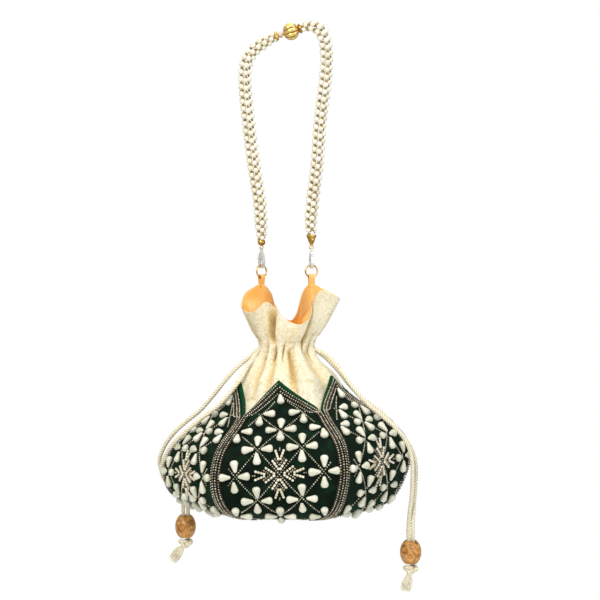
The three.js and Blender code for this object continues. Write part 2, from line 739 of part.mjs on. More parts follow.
function drawcord(side, strandName) {
  const [, , beadZ] = woodBeads[side];
  const route = cordRoutes[`${side}_${strandName}`];
  const [x, y] = route[route.length - 1];
  return cordTube([...route, [x, y, beadZ - woodLength / 2]]);
}

function woodBead(side) {
  const half = woodLength / 2;
  const end = Math.sqrt(0.3);
  const profile = [];
  const rings = 5;
  for (let i = 0; i <= rings; i++) {
    const up = lerp(-1, 1, i / rings);
    profile.push([woodRadius * Math.sqrt(1 - 0.7 * up * up), half * up]);
  }
  profile[0][0] = profile[rings][0] = Math.max(woodRadius * end, woodBore + 0.6);
  profile.push([woodBore, half], [woodBore, -half], profile[0]);
  return turned(profile, 12).rotateX(Math.PI / 2).translate(...woodBeads[side]);
}

function knotTopZ(side) {
  return woodBeads[side][2] - woodLength / 2 - clearance;
}

const knotHalves = new THREE.Vector3(knotRadius * 1.15, knotRadius * 0.85, knotLength / 2);

function knotCentre(side) {
  const [x, y] = woodBeads[side];
  return new THREE.Vector3(x, y, knotTopZ(side) - knotLength / 2);
}

function knot(side) {
  const lump = new THREE.SphereGeometry(1, 10, 6).rotateX(Math.PI / 2);
  lump.scale(knotHalves.x, knotHalves.y, knotHalves.z);
  return lump.translate(...knotCentre(side).toArray());
}

function tail(side) {
  const lean = new THREE.Vector3(...tailLeans[side]).normalize();
  const knotReach = 1 / lean.clone().divide(knotHalves).length();
  const start = knotCentre(side).addScaledVector(lean, knotReach + clearance);
  const profile = [[0, 0], [tailRadius * 0.5, 0], [tailRadius * 0.7, tailLength * 0.5], [tailRadius, tailLength], [0, tailLength]];
  return aim(turned(profile, 10), start, lean);
}

for (const side of Object.keys(sides)) {
  addPiece(`ring_tab_${side}`, tab(side), "satin");
  addPiece(`ring_${side}`, hang(wireLoop(ringRadius, ringWire, 18), side, ringCentreZ), "gold");
  addPiece(`clasp_${side}`, clasp(side), "silver");
  addPiece(`clasp_lever_${side}`, lever(side), "silver");
  addPiece(`end_cap_${side}`, cap(side), "gold");
  addPiece(`gather_cup_${side}`, gatherCup(side), "gold");
  for (let i = 0; i < strandCount; i++) addPiece(`strand_${side}_${i + 1}`, strand(side, i), "pearl");
  addPiece(`wood_bead_${side}`, woodBead(side), "wood");
  addPiece(`knot_${side}`, knot(side), "cord");
  addPiece(`tail_${side}`, tail(side), "cord");
}
addPiece("melon_ball", melonBall(), "gold");
addPiece("pale_bead", paleBead(), "paleBead");
addPiece("strap_core", core(), "cord");
addPiece("cord_left_outer", drawcord("left", "outer"), "cord");
addPiece("cord_left_inner", drawcord("left", "inner"), "cord");
addPiece("cord_right_front", drawcord("right", "front"), "cord");
addPiece("cord_right_back", drawcord("right", "back"), "cord");

export default bag;
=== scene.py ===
# Potli bag with pearl embroidery: the looks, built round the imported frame.
import json
import math

import bpy
import numpy as np
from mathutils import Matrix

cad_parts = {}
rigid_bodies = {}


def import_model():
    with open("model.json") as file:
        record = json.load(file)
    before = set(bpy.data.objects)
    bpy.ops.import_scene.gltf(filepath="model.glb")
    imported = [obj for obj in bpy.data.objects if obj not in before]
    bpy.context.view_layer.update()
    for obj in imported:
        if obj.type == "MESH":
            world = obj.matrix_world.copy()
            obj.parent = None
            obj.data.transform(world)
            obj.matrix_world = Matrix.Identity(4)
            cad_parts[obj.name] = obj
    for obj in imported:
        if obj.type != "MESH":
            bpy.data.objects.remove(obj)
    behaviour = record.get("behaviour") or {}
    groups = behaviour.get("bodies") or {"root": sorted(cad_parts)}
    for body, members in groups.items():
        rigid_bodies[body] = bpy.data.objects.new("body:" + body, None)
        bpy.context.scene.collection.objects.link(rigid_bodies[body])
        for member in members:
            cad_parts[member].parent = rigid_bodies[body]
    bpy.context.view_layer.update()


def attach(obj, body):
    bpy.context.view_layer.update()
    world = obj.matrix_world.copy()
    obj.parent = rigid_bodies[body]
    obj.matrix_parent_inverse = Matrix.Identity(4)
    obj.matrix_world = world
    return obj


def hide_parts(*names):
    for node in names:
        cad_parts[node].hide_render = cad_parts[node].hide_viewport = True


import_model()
print("frame loaded")

mm = 0.001
tau = 2 * math.pi
random = np.random.default_rng(7)


# Camera, light and floor

photo = {
    "pixels": 600,
    "scale": 0.85,          # mm to a pixel at the strap's plane
    "centre": (11.5, 0.0, -222.7),
    "distance": 1360.0,
}


# A camera level with the photo's middle, whose angle takes in the photo's width at its distance.
def addCamera():
    width = photo["pixels"] * photo["scale"]
    data = bpy.data.cameras.new("camera")
    data.sensor_fit = "HORIZONTAL"
    data.angle = 2 * math.atan(width / 2 / photo["distance"])
    data.clip_end = 20
    camera = bpy.data.objects.new("camera", data)
    x, y, z = photo["centre"]
    camera.location = (x * mm, (y - photo["distance"]) * mm, z * mm)
    camera.rotation_euler = (math.pi / 2, 0, 0)
    bpy.context.scene.collection.objects.link(camera)
    bpy.context.scene.camera = camera


# sRGB hex to linear red, green, blue and alpha.
def linear(hexColour):
    channels = [int(hexColour[i:i + 2], 16) / 255 for i in (1, 3, 5)]
    return [c / 12.92 if c <= 0.04045 else ((c + 0.055) / 1.055) ** 2.4 for c in channels] + [1.0]


# One node, with its settings, its values and its links.
def addNode(tree, kind, inputs=None, **settings):
    new = tree.nodes.new(kind)
    for name, value in settings.items():
        setattr(new, name, value)
    for socket, value in (inputs or {}).items():
        if isinstance(value, bpy.types.NodeSocket):
            tree.links.new(value, new.inputs[socket])
        else:
            new.inputs[socket].default_value = value
    return new


# A soft square light at a place in mm, turned to shine at a point.
def addLight(name, place, aim, size, power, colour="#ffffff"):
    data = bpy.data.lights.new(name, "AREA")
    data.size = size
    data.energy = power
    data.color = linear(colour)[:3]
    light = bpy.data.objects.new(name, data)
    light.location = [v * mm for v in place]
    ray = np.array(aim, float) - np.array(place, float)
    ray /= np.linalg.norm(ray)
    pitch = math.acos(-ray[2])
    yaw = math.atan2(ray[1], ray[0]) - math.pi / 2
    light.rotation_euler = (pitch, 0, yaw)
    bpy.context.scene.collection.objects.link(light)


# White to the camera, a softer grey sky to everything it lights.
def addWorld():
    world = bpy.data.worlds.new("studio")
    world.use_nodes = True
    tree = world.node_tree
    tree.nodes.clear()
    path = addNode(tree, "ShaderNodeLightPath")
    sky = addNode(tree, "ShaderNodeBackground", {"Color": linear("#f4f4f2"), "Strength": 0.42})
    white = addNode(tree, "ShaderNodeBackground", {"Color": (1, 1, 1, 1), "Strength": 1.0})
    both = addNode(tree, "ShaderNodeMixShader", {0: path.outputs["Is Camera Ray"], 1: sky.outputs[0],
                                                 2: white.outputs[0]})
    addNode(tree, "ShaderNodeOutputWorld", {"Surface": both.outputs[0]})
    bpy.context.scene.world = world


# Small shapes and surfaces, in mm

# From a at share 0 to b at share 1, in a straight line.
def mix(a, b, share):
    return a + (b - a) * share


# 0 below low, 1 above high, and the cubic 3t^2 - 2t^3 between them.
def smoothstep(x, low, high):
    t = np.clip((x - low) / (high - low), 0, 1)
    return t * t * (3 - 2 * t)


# Vectors brought to length 1.
def unit(vectors):
    return vectors / np.maximum(np.linalg.norm(vectors, axis=-1, keepdims=True), 1e-9)


# Centripetal spline through rows of points: each span is a cubic whose end slopes come from the
# square roots of the distances to its neighbours. t runs from 0 to 1 over all spans.
def catmull(points, t, closed=False):
    points = np.asarray(points, float)
    spans = len(points) if closed else len(points) - 1
    place = np.clip(t, 0, 1) * spans
    index = np.minimum(place.astype(int), spans - 1)
    w = (place - index).reshape(-1, *[1] * (points.ndim - 1))
    if closed:
        ring = np.concatenate([points[-1:], points, points[:2]])
    else:
        ring = np.concatenate([2 * points[:1] - points[1:2], points, 2 * points[-1:] - points[-2:-1]])
    a, b, c, d = (ring[index + k] for k in range(4))
    ab, bc, cd = (np.maximum(((q - p) ** 2).sum(-1, keepdims=True), 1e-9) ** 0.25
                  for p, q in ((a, b), (b, c), (c, d)))
    start = ((b - a) / ab - (c - a) / (ab + bc) + (c - b) / bc) * bc
    end = ((c - b) / bc - (d - b) / (bc + cd) + (d - c) / cd) * bc
    return b + start * w + (3 * (c - b) - 2 * start - end) * w ** 2 + (2 * (b - c) + start + end) * w ** 3


# The length run at each point of a line.
def lengthAlong(line):
    return np.concatenate([[0], np.cumsum(np.linalg.norm(np.diff(line, axis=0), axis=1))])


# The points of a line at given run lengths.
def atLengths(line, length, run):
    return np.stack([np.interp(run, length, line[:, k]) for k in range(line.shape[1])], -1)


# The spline as close samples, and the length run at each of them.
def arcCurve(points, steps=1600):
    dense = catmull(points, np.linspace(0, 1, steps + 1))
    return dense, lengthAlong(dense)


# Points at shares of the curve's length.
def sample(curve, share):
    dense, length = curve
    return atLengths(dense, length, np.asarray(share) * length[-1])


# A curve's tangents, as a curve over the same lengths.
def slopes(curve):
    dense, length = curve
    return unit(np.gradient(dense, axis=0)), length


# A smooth mesh from arrays, with a value to each vertex for every named attribute.
def addObject(name, vertices, faces, material, values=None, uv=None, body="bag"):
    mesh = bpy.data.meshes.new(name)
    vertices = np.ascontiguousarray(vertices.reshape(-1, 3) * mm, dtype=np.float32)
    faces = np.ascontiguousarray(faces, dtype=np.int32)
    mesh.vertices.add(len(vertices))
    mesh.vertices.foreach_set("co", vertices.ravel())
    mesh.loops.add(faces.size)
    mesh.loops.foreach_set("vertex_index", faces.ravel())
    mesh.polygons.add(len(faces))
    mesh.polygons.foreach_set("loop_start", np.arange(0, faces.size, faces.shape[1], dtype=np.int32))
    mesh.update(calc_edges=True)
    mesh.polygons.foreach_set("use_smooth", np.ones(len(faces), dtype=bool))
    for label, numbers in (values or {}).items():
        layer = mesh.attributes.new(label, "FLOAT", "POINT")
        layer.data.foreach_set("value", np.ascontiguousarray(numbers, dtype=np.float32).ravel())
    if uv is not None:
        cloth = mesh.uv_layers.new(name="cloth")
        cloth.data.foreach_set("uv", np.ascontiguousarray(uv, dtype=np.float32).ravel())
    mesh.validate()
    mesh.materials.append(material)
    made = bpy.data.objects.new(name, mesh)
    bpy.context.scene.collection.objects.link(made)
    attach(made, body)
    return made


# Row and column numbers of a grid's quads; a closed grid joins its last column to its first.
def gridIndex(rows, columns, closed):
    across = np.arange(columns if closed else columns - 1)
    r, c = np.meshgrid(np.arange(rows - 1), across, indexing="ij")
    return r, c


# The four corners of each quad of a grid of vertices.
def gridFaces(rows, columns, closed=False):
    r, c = gridIndex(rows, columns, closed)
    n = (c + 1) % columns
    corners = [r * columns + c, r * columns + n, (r + 1) * columns + n, (r + 1) * columns + c]
    return np.stack(corners, -1).reshape(-1, 4)


# The flat places of those corners, in the same order.
def gridUv(uv, rows, columns, closed=False):
    r, c = gridIndex(rows, columns, closed)
    return np.stack([uv[r, c], uv[r, c + 1], uv[r + 1, c + 1], uv[r + 1, c]], -2).reshape(-1, 2)


# Angles that share a full turn evenly.
def fullTurn(count):
    return tau * np.arange(count) / count


# Vertices and triangles of a closed form turned about Z, from a bottom point to a top point.
def turnedShape(profile, segments):
    angle = fullTurn(segments)
    rings = np.array(profile[1:-1], float)
    body = np.stack([rings[:, :1] * np.cos(angle), rings[:, :1] * np.sin(angle),
                     np.repeat(rings[:, 1:], segments, 1)], -1).reshape(-1, 3)
    vertices = np.concatenate([body, [[0, 0, profile[0][1]], [0, 0, profile[-1][1]]]])
    quads = gridFaces(len(rings), segments, closed=True)
    around = np.arange(segments)
    after = (around + 1) % segments
    last = (len(rings) - 1) * segments
    low, high = np.full(segments, len(body)), np.full(segments, len(body) + 1)
    faces = np.concatenate([quads[:, [0, 1, 2]], quads[:, [0, 2, 3]], np.stack([after, around, low], -1),
                            np.stack([last + around, last + after, high], -1)])
    return vertices, faces


# A ball of radius 1.
def ballShape(segments, rings):
    angles = np.linspace(-math.pi / 2, math.pi / 2, rings + 1)
    return turnedShape([(math.cos(a), math.sin(a)) for a in angles], segments)


# One mesh of a shape set at many centres, each along its own three axes, which carry its size.
def copies(shape, centres, axes):
    vertices, faces = shape
    points = np.einsum("vk,nkj->nvj", vertices, axes) + centres[:, None]
    shifts = np.arange(len(centres))[:, None, None] * len(vertices)
    return points.reshape(-1, 3), (faces[None] + shifts).reshape(-1, faces.shape[1])


# Tangent, side and third axis at each point of a stack of paths.
def pathFrames(paths, depth=(0.0, 1.0, 0.0)):
    tangent = unit(np.gradient(paths, axis=-2))
    side = unit(np.cross(tangent, np.array(depth)))
    return tangent, side, np.cross(tangent, side)


# Tubes round a stack of paths. radius is given at each path's points and, at choice, round them.
def tubes(paths, radius, sides, depth=(0.0, 1.0, 0.0)):
    tangent, side, third = pathFrames(paths, depth)
    angle = fullTurn(sides)
    reach = np.broadcast_to(radius, paths.shape[:2] + (sides,))[..., None]
    rim = side[:, :, None] * np.cos(angle)[:, None] + third[:, :, None] * np.sin(angle)[:, None]
    points = paths[:, :, None] + rim * reach
    count, steps = paths.shape[:2]
    faces = gridFaces(steps, sides, closed=True)
    shifts = np.arange(count)[:, None, None] * steps * sides
    return points.reshape(-1, 3), (faces[None] + shifts).reshape(-1, 4)


# Several vertex and face arrays as one.
def joined(parts):
    starts = np.cumsum([0] + [len(v) for v, f in parts[:-1]])
    return np.concatenate([v for v, f in parts]), np.concatenate([f + s for (v, f), s in zip(parts, starts)])


upright = np.eye(3)


# A form turned about its own Z, then set along three axes at a place. ribs scale the radius round it.
def addTurned(name, node, profile, axes, place, material, body, ribs=None, segments=64, values=None):
    angle = fullTurn(segments)
    loop = np.array(profile, float)
    reach = loop[:, :1] * (np.ones(segments) if ribs is None else ribs(angle, loop[:, 1:]))
    height = np.repeat(loop[:, 1:], segments, 1)
    points = np.stack([reach * np.cos(angle), reach * np.sin(angle), height], -1) @ axes + place
    made = addObject(name, points, gridFaces(len(loop), segments, closed=True), material, values, body=body)
    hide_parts(node)
    return made


# Materials

# A principled material, its node tree and its shader node.
def newMaterial(name, **inputs):
    material = bpy.data.materials.new(name)
    material.use_nodes = True
    tree = material.node_tree
    tree.nodes.clear()
    shader = addNode(tree, "ShaderNodeBsdfPrincipled")
    for socket, value in inputs.items():
        shader.inputs[socket.replace("_", " ")].default_value = value
    addNode(tree, "ShaderNodeOutputMaterial", {"Surface": shader.outputs[0]})
    return material, tree, shader


def paint(tree, shader, colour):
    tree.links.new(colour, shader.inputs["Base Color"])


# A colour that runs through the stops as the factor goes from 0 to 1.
def addRamp(tree, factor, stops):
    ramp = addNode(tree, "ShaderNodeValToRGB", {"Fac": factor})
    elements = ramp.color_ramp.elements
    while len(elements) < len(stops):
        elements.new(0.5)
    for element, (place, colour) in zip(elements, stops):
        element.position = place
        element.color = linear(colour)
    return ramp.outputs[0]


# One colour multiplied by another.
def multiplied(tree, colour, by):
    both = addNode(tree, "ShaderNodeMixRGB", {"Fac": 1.0, "Color1": colour, "Color2": by},
                   blend_type="MULTIPLY")
    return both.outputs[0]


# Relief in the shading alone; distance is its full height in mm.
def addBump(tree, shader, height, strength, distance):
    bump = addNode(tree, "ShaderNodeBump", {"Height": height, "Strength": strength,
                                            "Distance": distance * mm})
    tree.links.new(bump.outputs[0], shader.inputs["Normal"])


def objectPlace(tree):
    return addNode(tree, "ShaderNodeTexCoord").outputs["Object"]


def clothPlace(tree):
    return addNode(tree, "ShaderNodeUVMap", uv_map="cloth").outputs[0]


def addNoise(tree, place, perMetre, detail=2.0):
    noise = addNode(tree, "ShaderNodeTexNoise", {"Vector": place, "Scale": perMetre, "Detail": detail})
    return noise.outputs["Fac"]


def addValue(tree, name):
    return addNode(tree, "ShaderNodeAttribute", attribute_name=name).outputs["Fac"]


# Cut-pile velvet: near black face on, with a green sheen where the pile is seen from the side. Along the
# turned petal edges a brighter green is painted in: painted sheen where the pile catches the light, and
# wear.
def velvetMaterial():
    material, tree, shader = newMaterial("velvet", Roughness=0.9, Sheen_Weight=0.3, Sheen_Roughness=0.35)
    shader.inputs["Sheen Tint"].default_value = linear("#1f8a50")
    shader.inputs["Specular IOR Level"].default_value = 0.12
    place = objectPlace(tree)
    nap = addNoise(tree, place, 90, 4)
    base = addRamp(tree, nap, [(0.35, "#06120b"), (0.55, "#091b11"), (0.72, "#0d2c1a")])
    # painted sheen and wear: a brighter green painted in along the turned petal edges
    rim = addRamp(tree, addValue(tree, "rim"), [(0.0, "#000000"), (1.0, "#ffffff")])
    edge = addNode(tree, "ShaderNodeMixRGB", {"Fac": rim, "Color1": base, "Color2": linear("#0a3f22")})
    paint(tree, shader, edge.outputs[0])
    addBump(tree, shader, addNoise(tree, place, 2600, 2), 0.5, 0.25)
    return material


# Cream brocade: a fine rib across the cloth with thin curling vine lines woven in a darker gold, and painted
# shade, tan to brown, deep in the folds.
def brocadeMaterial():
    material, tree, shader = newMaterial("brocade", Roughness=0.62, Sheen_Weight=0.25, Sheen_Roughness=0.4)
    place = clothPlace(tree)
    drift = addNode(tree, "ShaderNodeTexNoise", {"Vector": place, "Scale": 0.11, "Detail": 1.0})
    curl = addNode(tree, "ShaderNodeVectorMath", {0: drift.outputs["Color"], 1: (26, 26, 0)},
                   operation="MULTIPLY")
    bent = addNode(tree, "ShaderNodeVectorMath", {0: place, 1: curl.outputs[0]}, operation="ADD")
    cells = addNode(tree, "ShaderNodeTexVoronoi", {"Vector": bent.outputs[0], "Scale": 0.24},
                    feature="DISTANCE_TO_EDGE")
    line = addRamp(tree, cells.outputs["Distance"], [(0.0, "#ffffff"), (0.04, "#dddddd"), (0.1, "#000000")])
    cream = addRamp(tree, addNoise(tree, place, 0.05, 3), [(0.3, "#ece0c0"), (0.6, "#f3ebd2")])
    woven = addNode(tree, "ShaderNodeMixRGB", {"Fac": line, "Color1": cream, "Color2": linear("#d6caa2")})
    # painted shade: tan to brown deep in the folds
    depth = addRamp(tree, addValue(tree, "foldShade"), [(0.0, "#ffffff"), (0.45, "#ead5a8"), (1.0, "#8a622e")])
    paint(tree, shader, multiplied(tree, woven.outputs[0], depth))
    rib = addNode(tree, "ShaderNodeTexWave", {"Vector": place, "Scale": 0.45, "Distortion": 0.6},
                  bands_direction="Y")
    raised = addNode(tree, "ShaderNodeMath", {0: line, 1: rib.outputs["Fac"]}, operation="ADD")
    addBump(tree, shader, raised.outputs[0], 0.35, 0.12)
    return material


# Orange gold satin: smooth floats that shine along the folds, with a faint warp. It is a little
# deeper to the left and down in the mouth, where the folds shade it.
def satinMaterial():
    material, tree, shader = newMaterial("satin", Roughness=0.36, Sheen_Weight=0.2)
    place = objectPlace(tree)
    base = addRamp(tree, addNoise(tree, place, 60, 3), [(0.3, "#f6b858"), (0.7, "#fbd284")])
    parts = addNode(tree, "ShaderNodeSeparateXYZ", {0: place})
    for axis, low, high, tint in (("X", -0.03, 0.03, "#fcf0dc"), ("Z", -0.245, -0.212, "#f8deb4")):
        share = addNode(tree, "ShaderNodeMapRange", {"Value": parts.outputs[axis], "From Min": low,
                                                     "From Max": high})
        shade = addRamp(tree, share.outputs[0], [(0.0, tint), (1.0, "#ffffff")])
        base = multiplied(tree, base, shade)
    paint(tree, shader, base)
    addBump(tree, shader, addNoise(tree, place, 1500, 2), 0.15, 0.1)
    return material


# Plated metal: bright, with a faint unevenness and a darker tone where the plating has dulled.
def metalMaterial(name, light, dark, roughness, grain, depth, metallic=1.0):
    material, tree, shader = newMaterial(name, Metallic=metallic, Roughness=roughness)
    place = objectPlace(tree)
    tone = addRamp(tree, addNoise(tree, place, 240, 3), [(0.3, dark), (0.62, light)])
    paint(tree, shader, tone)
    addBump(tree, shader, addNoise(tree, place, grain, 2), 0.4, depth)
    return material


# Polished gold plate with painted shade, brown down in the grooves between the ribs, and painted highlight,
# pale on the rib crests.
def flutedMaterial():
    material, tree, shader = newMaterial("fluted gold", Metallic=0.75, Roughness=0.24)
    # painted shade in the grooves and painted highlight on the crests, from the rib value
    tone = addRamp(tree, addValue(tree, "rib"), [(0.0, "#6e4412"), (0.45, "#c98f34"), (0.85, "#fbdf8e")])
    paint(tree, shader, tone)
    return material


# Coated beads: a soft body colour under a clear lustre, each bead a little lighter or darker.
def pearlMaterial(name, low, high, coat=0.6):
    material, tree, shader = newMaterial(name, Roughness=0.34, Coat_Weight=coat, Coat_Roughness=0.12)
    shader.inputs["Subsurface Weight"].default_value = 0.12
    shader.inputs["Subsurface Radius"].default_value = (0.002, 0.0016, 0.001)
    tone = addRamp(tree, addValue(tree, "tone"), [(0.0, low), (1.0, high)])
    paint(tree, shader, tone)
    addBump(tree, shader, addNoise(tree, objectPlace(tree), 700, 2), 0.12, 0.15)
    return material


# Metal-lined seed beads: silver ones in with dark bronze ones, small bright points.
def seedMaterial():
    material, tree, shader = newMaterial("seeds", Roughness=0.35, Metallic=0.35)
    tone = addRamp(tree, addValue(tree, "tone"), [(0.0, "#241910"), (0.35, "#4a3724"), (0.45, "#a8a08a"),
                                                  (1.0, "#ece6d2")])
    paint(tree, shader, tone)
    return material


# Twisted cream cord: matt, with fine fibres lying along its turns, and painted shade in the grooves between
# its strands.
def cordMaterial():
    material, tree, shader = newMaterial("cord", Roughness=0.8, Sheen_Weight=0.4, Sheen_Roughness=0.5)
    place = objectPlace(tree)
    tone = addRamp(tree, addNoise(tree, place, 420, 3), [(0.3, "#ebe1c0"), (0.65, "#fbf6e2")])
    # painted shade in the rope's grooves
    groove = addRamp(tree, addValue(tree, "groove"), [(0.0, "#ad9c6c"), (0.6, "#ffffff")])
    paint(tree, shader, multiplied(tree, tone, groove))
    addBump(tree, shader, addNoise(tree, place, 2400, 2), 0.3, 0.15)
    return material


# Varnished burl wood: honey ground, dark curling figure, thin lacquer.
def woodMaterial():
    material, tree, shader = newMaterial("wood", Roughness=0.4, Coat_Weight=0.35, Coat_Roughness=0.2)
    place = objectPlace(tree)
    burl = addNode(tree, "ShaderNodeTexNoise", {"Vector": place, "Scale": 130, "Detail": 4.0,
                                                "Distortion": 2.2})
    tone = addRamp(tree, burl.outputs["Fac"], [(0.3, "#5b3a16"), (0.42, "#a86c2a"), (0.55, "#cf9445"),
                                               (0.75, "#e2b368")])
    paint(tree, shader, tone)
    addBump(tree, shader, burl.outputs["Fac"], 0.15, 0.2)
    return material


# Pale peach glass: light goes into it and it glows at its edges.
def paleBeadMaterial():
    material, tree, shader = newMaterial("pale bead", Roughness=0.12, Coat_Weight=0.5)
    shader.inputs["Transmission Weight"].default_value = 0.35
    tone = addRamp(tree, addNoise(tree, objectPlace(tree), 300, 2), [(0.3, "#f0cfae"), (0.7, "#fbf0e4")])
    paint(tree, shader, tone)
    return material


# A matt pale sheet.
def floorMaterial():
    material, tree, shader = newMaterial("floor", Roughness=0.9)
    tone = addRamp(tree, addNoise(tree, objectPlace(tree), 3, 2), [(0.3, "#efefed"), (0.7, "#f4f4f3")])
    paint(tree, shader, tone)
    return material


velvet = velvetMaterial()
brocade = brocadeMaterial()
satin = satinMaterial()
gold = metalMaterial("gold", "#f0c768", "#b8862e", 0.24, 900, 0.06)
polished = flutedMaterial()
seedGold = metalMaterial("seed gold", "#c8a64e", "#7c6628", 0.3, 900, 0.05)
filigree = metalMaterial("filigree", "#efc56a", "#8f6420", 0.3, 1300, 0.5)
silver = metalMaterial("silver", "#f7f7f4", "#dcdcd8", 0.26, 800, 0.03, 0.5)
pearl = pearlMaterial("pearl", "#ebe2c6", "#fcf7e8")
dropPearl = pearlMaterial("drop pearl", "#cccdb6", "#eae9d8", 0.8)
ivorySeed = pearlMaterial("ivory seed", "#d8cfb0", "#f7f2e2", 0.4)
seeds = seedMaterial()
cordYarn = cordMaterial()
wood = woodMaterial()
paleGlass = paleBeadMaterial()
print("materials made")


# The pouch

pouch = {
    "panels": 6,
    "turn": math.radians(-3),
    "base": (52, -402.5),           # radius and height where the profile turns, from the base
    "belly": (104.6, -365.5),
    "shoulder": (71.4, -321),
    "tip": (46, -288),
    "neckZ": -265,
    "notch": 26,                # how far down the notches between the petals lie
    "skirtBelow": 4,            # the collar's skirt starts this far below the notches
    "petalPower": 0.8,          # below 1 the petal's sides bow outward
    "roundness": (0.12, 0.6),   # at the belly and at the petal tips
    "lean": 0.07,
    "tipTurns": (-0.085, 0.07, 0, 0, 0, 0),     # how far each petal's tip is turned to the side
}
baseZ, bellyZ, tipZ = (pouch[name][1] for name in ("base", "belly", "tip"))


# A point of the profile, at shares of the radius and of the height between two of its named places.
def profilePoint(first, second, radiusShare, heightShare):
    return (mix(pouch[first][0], pouch[second][0], radiusShare), 0,
            mix(pouch[first][1], pouch[second][1], heightShare))


pouchCurve = arcCurve([
    profilePoint("base", "belly", 0, 0), profilePoint("base", "belly", 0.47, 0.13),
    profilePoint("base", "belly", 0.8, 0.4), profilePoint("base", "belly", 1, 1),
    profilePoint("shoulder", "belly", 0.83, 0.5), profilePoint("shoulder", "belly", 0, 0),
    profilePoint("tip", "shoulder", 0.3, 0.48), profilePoint("tip", "shoulder", 0, 0)])
pouchSlopes = slopes(pouchCurve)
pouchLength = pouchCurve[1][-1]
span = tau / pouch["panels"]


# The share of the profile's length that is run at a height.
def shareAtHeight(z):
    return np.interp(z, pouchCurve[0][:, 2], pouchCurve[1] / pouchLength)


notchShare = shareAtHeight(tipZ - pouch["notch"])
skirtShare = shareAtHeight(tipZ - pouch["notch"] - pouch["skirtBelow"])


# How round the section is at a height: 0 is a hexagon and 1 a circle.
def roundnessAt(z):
    low, high = pouch["roundness"]
    return mix(low, high, smoothstep(z, bellyZ, tipZ))


# The filled pouch leans: heights shift with x, but not at the base or the neck.
def settle(points):
    z = points[..., 2]
    lower = smoothstep(z, baseZ + 2, baseZ + 30)
    upper = 1 - smoothstep(z, tipZ - 4, pouch["neckZ"])
    points[..., 2] = z + pouch["lean"] * points[..., 0] * lower * upper
    return points


# The pouch's wall: a profile swept round a soft hexagon, moved out along the profile's normal.
def pouchPoints(azimuth, share, lift=0.0):
    azimuth, share, lift = np.broadcast_arrays(azimuth, share, lift)
    point = sample(pouchCurve, share)
    slope = sample(pouchSlopes, share)
    local = np.mod(azimuth - pouch["turn"], span) - span / 2
    hexagon = mix(math.cos(span / 2) / np.cos(local), 1, roundnessAt(point[..., 2]))
    radius = hexagon * (point[..., 0] + slope[..., 2] * lift)
    height = point[..., 2] - slope[..., 0] * lift
    return settle(np.stack([radius * np.cos(azimuth), radius * np.sin(azimuth), height], -1))


# How far a petal's edge has dropped, from 0 at its tip to 1 at the seam.
def petalDrop(across):
    return 1 - (1 - np.abs(across)) ** pouch["petalPower"]


# The distance from the axis to the middle of a panel.
def flatRadius(share):
    point = sample(pouchCurve, share)
    return point[..., 0] * mix(math.cos(span / 2), 1, roundnessAt(point[..., 2]))


# The direction of a panel's middle line; panel 0 faces the viewer.
def panelMiddle(index):
    return pouch["turn"] - math.pi / 2 + index * span


# A petal leans from its notches, where it is held, to its tip.
def tipTurn(index, share):
    return pouch["tipTurns"][index] * smoothstep(share, notchShare, 1.0)


# A point on a panel, x to the side of its middle line and run up its profile from the base.
def panelPoints(index, x, run, lift=0.0):
    share = np.clip(run / pouchLength, 0, 1)
    azimuth = panelMiddle(index) + np.arctan(x / flatRadius(share)) + tipTurn(index, share)
    return pouchPoints(azimuth, share, lift)


# Centres on a panel and, at each, the directions to the side, up and out.
def panelFrames(index, x, run, lift):
    step = 0.3
    side = unit(panelPoints(index, x + step, run) - panelPoints(index, x - step, run))
    up = panelPoints(index, x, run + step) - panelPoints(index, x, run - step)
    out = unit(np.cross(side, up))
    return panelPoints(index, x, run, lift), side, np.cross(out, side), out


skin = {
    "columns": 56,
    "rows": 64,
    "rim": 0.7,             # how far the turned edge stands up
    "rimMiddle": 1.3,       # and where it is highest, in from the petal's edge
    "rimWidth": 1.1,
    "bright": (-4.2, -1.5),     # painted sheen and wear: the edge is painted brighter green between these distances
    "puff": 0.9,            # padding under the velvet
    "puffRun": 16,          # reached this far in from the seams and the edge
    "grooveDepth": 0.9,     # the seams draw the velvet down
    "grooveWidth": 1.6,
    "sunk": 0.4,            # the velvet's edges lie this far inside the pouch's wall
    "turnedIn": 2.2,        # the petal's edge is turned in this deep
    "inset": 0.004,         # a panel stops this angle short of its seam
    "slant": 0.8,           # a slanting petal edge is nearer than its height says
}


# Velvet over padding: the pouch's wall between two seams, puffed in the middle, drawn down at
# the seams, with a turned edge along the petal.
def addVelvetPanel(index):
    across = np.linspace(-1, 1, skin["columns"] + 1)
    up = np.linspace(0, 1, skin["rows"] + 1)[:, None]
    top = shareAtHeight(tipZ - pouch["notch"] * petalDrop(across))
    share = up * top
    azimuth = panelMiddle(index) + across * (span / 2 - skin["inset"]) + tipTurn(index, share)
    toSeam = flatRadius(share) * math.tan(span / 2) * (1 - np.abs(across))
    toTop = (top - share) * pouchLength * skin["slant"]
    puff = skin["puff"] * smoothstep(np.minimum(toSeam, toTop), 0, skin["puffRun"])
    groove = skin["grooveDepth"] * np.exp(-(toSeam / skin["grooveWidth"]) ** 2)
    rim = skin["rim"] * np.exp(-((toTop - skin["rimMiddle"]) / skin["rimWidth"]) ** 2)
    points = pouchPoints(azimuth, share, puff - groove + rim - skin["sunk"])
    rows, columns = points.shape[:2]
    back = pouchPoints(azimuth[-1:], share[-1:], -skin["turnedIn"])
    points = np.concatenate([points, back])
    # painted sheen and wear: 1 where the petal's edge is painted brighter green
    bright = smoothstep(-toTop, *skin["bright"])
    bright = np.concatenate([bright, bright[-1:]])
    made = addObject(f"velvet_skin_{index + 1}", points, gridFaces(rows + 1, columns), velvet,
                     {"rim": bright})
    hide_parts(f"velvet_panel_{index + 1}")


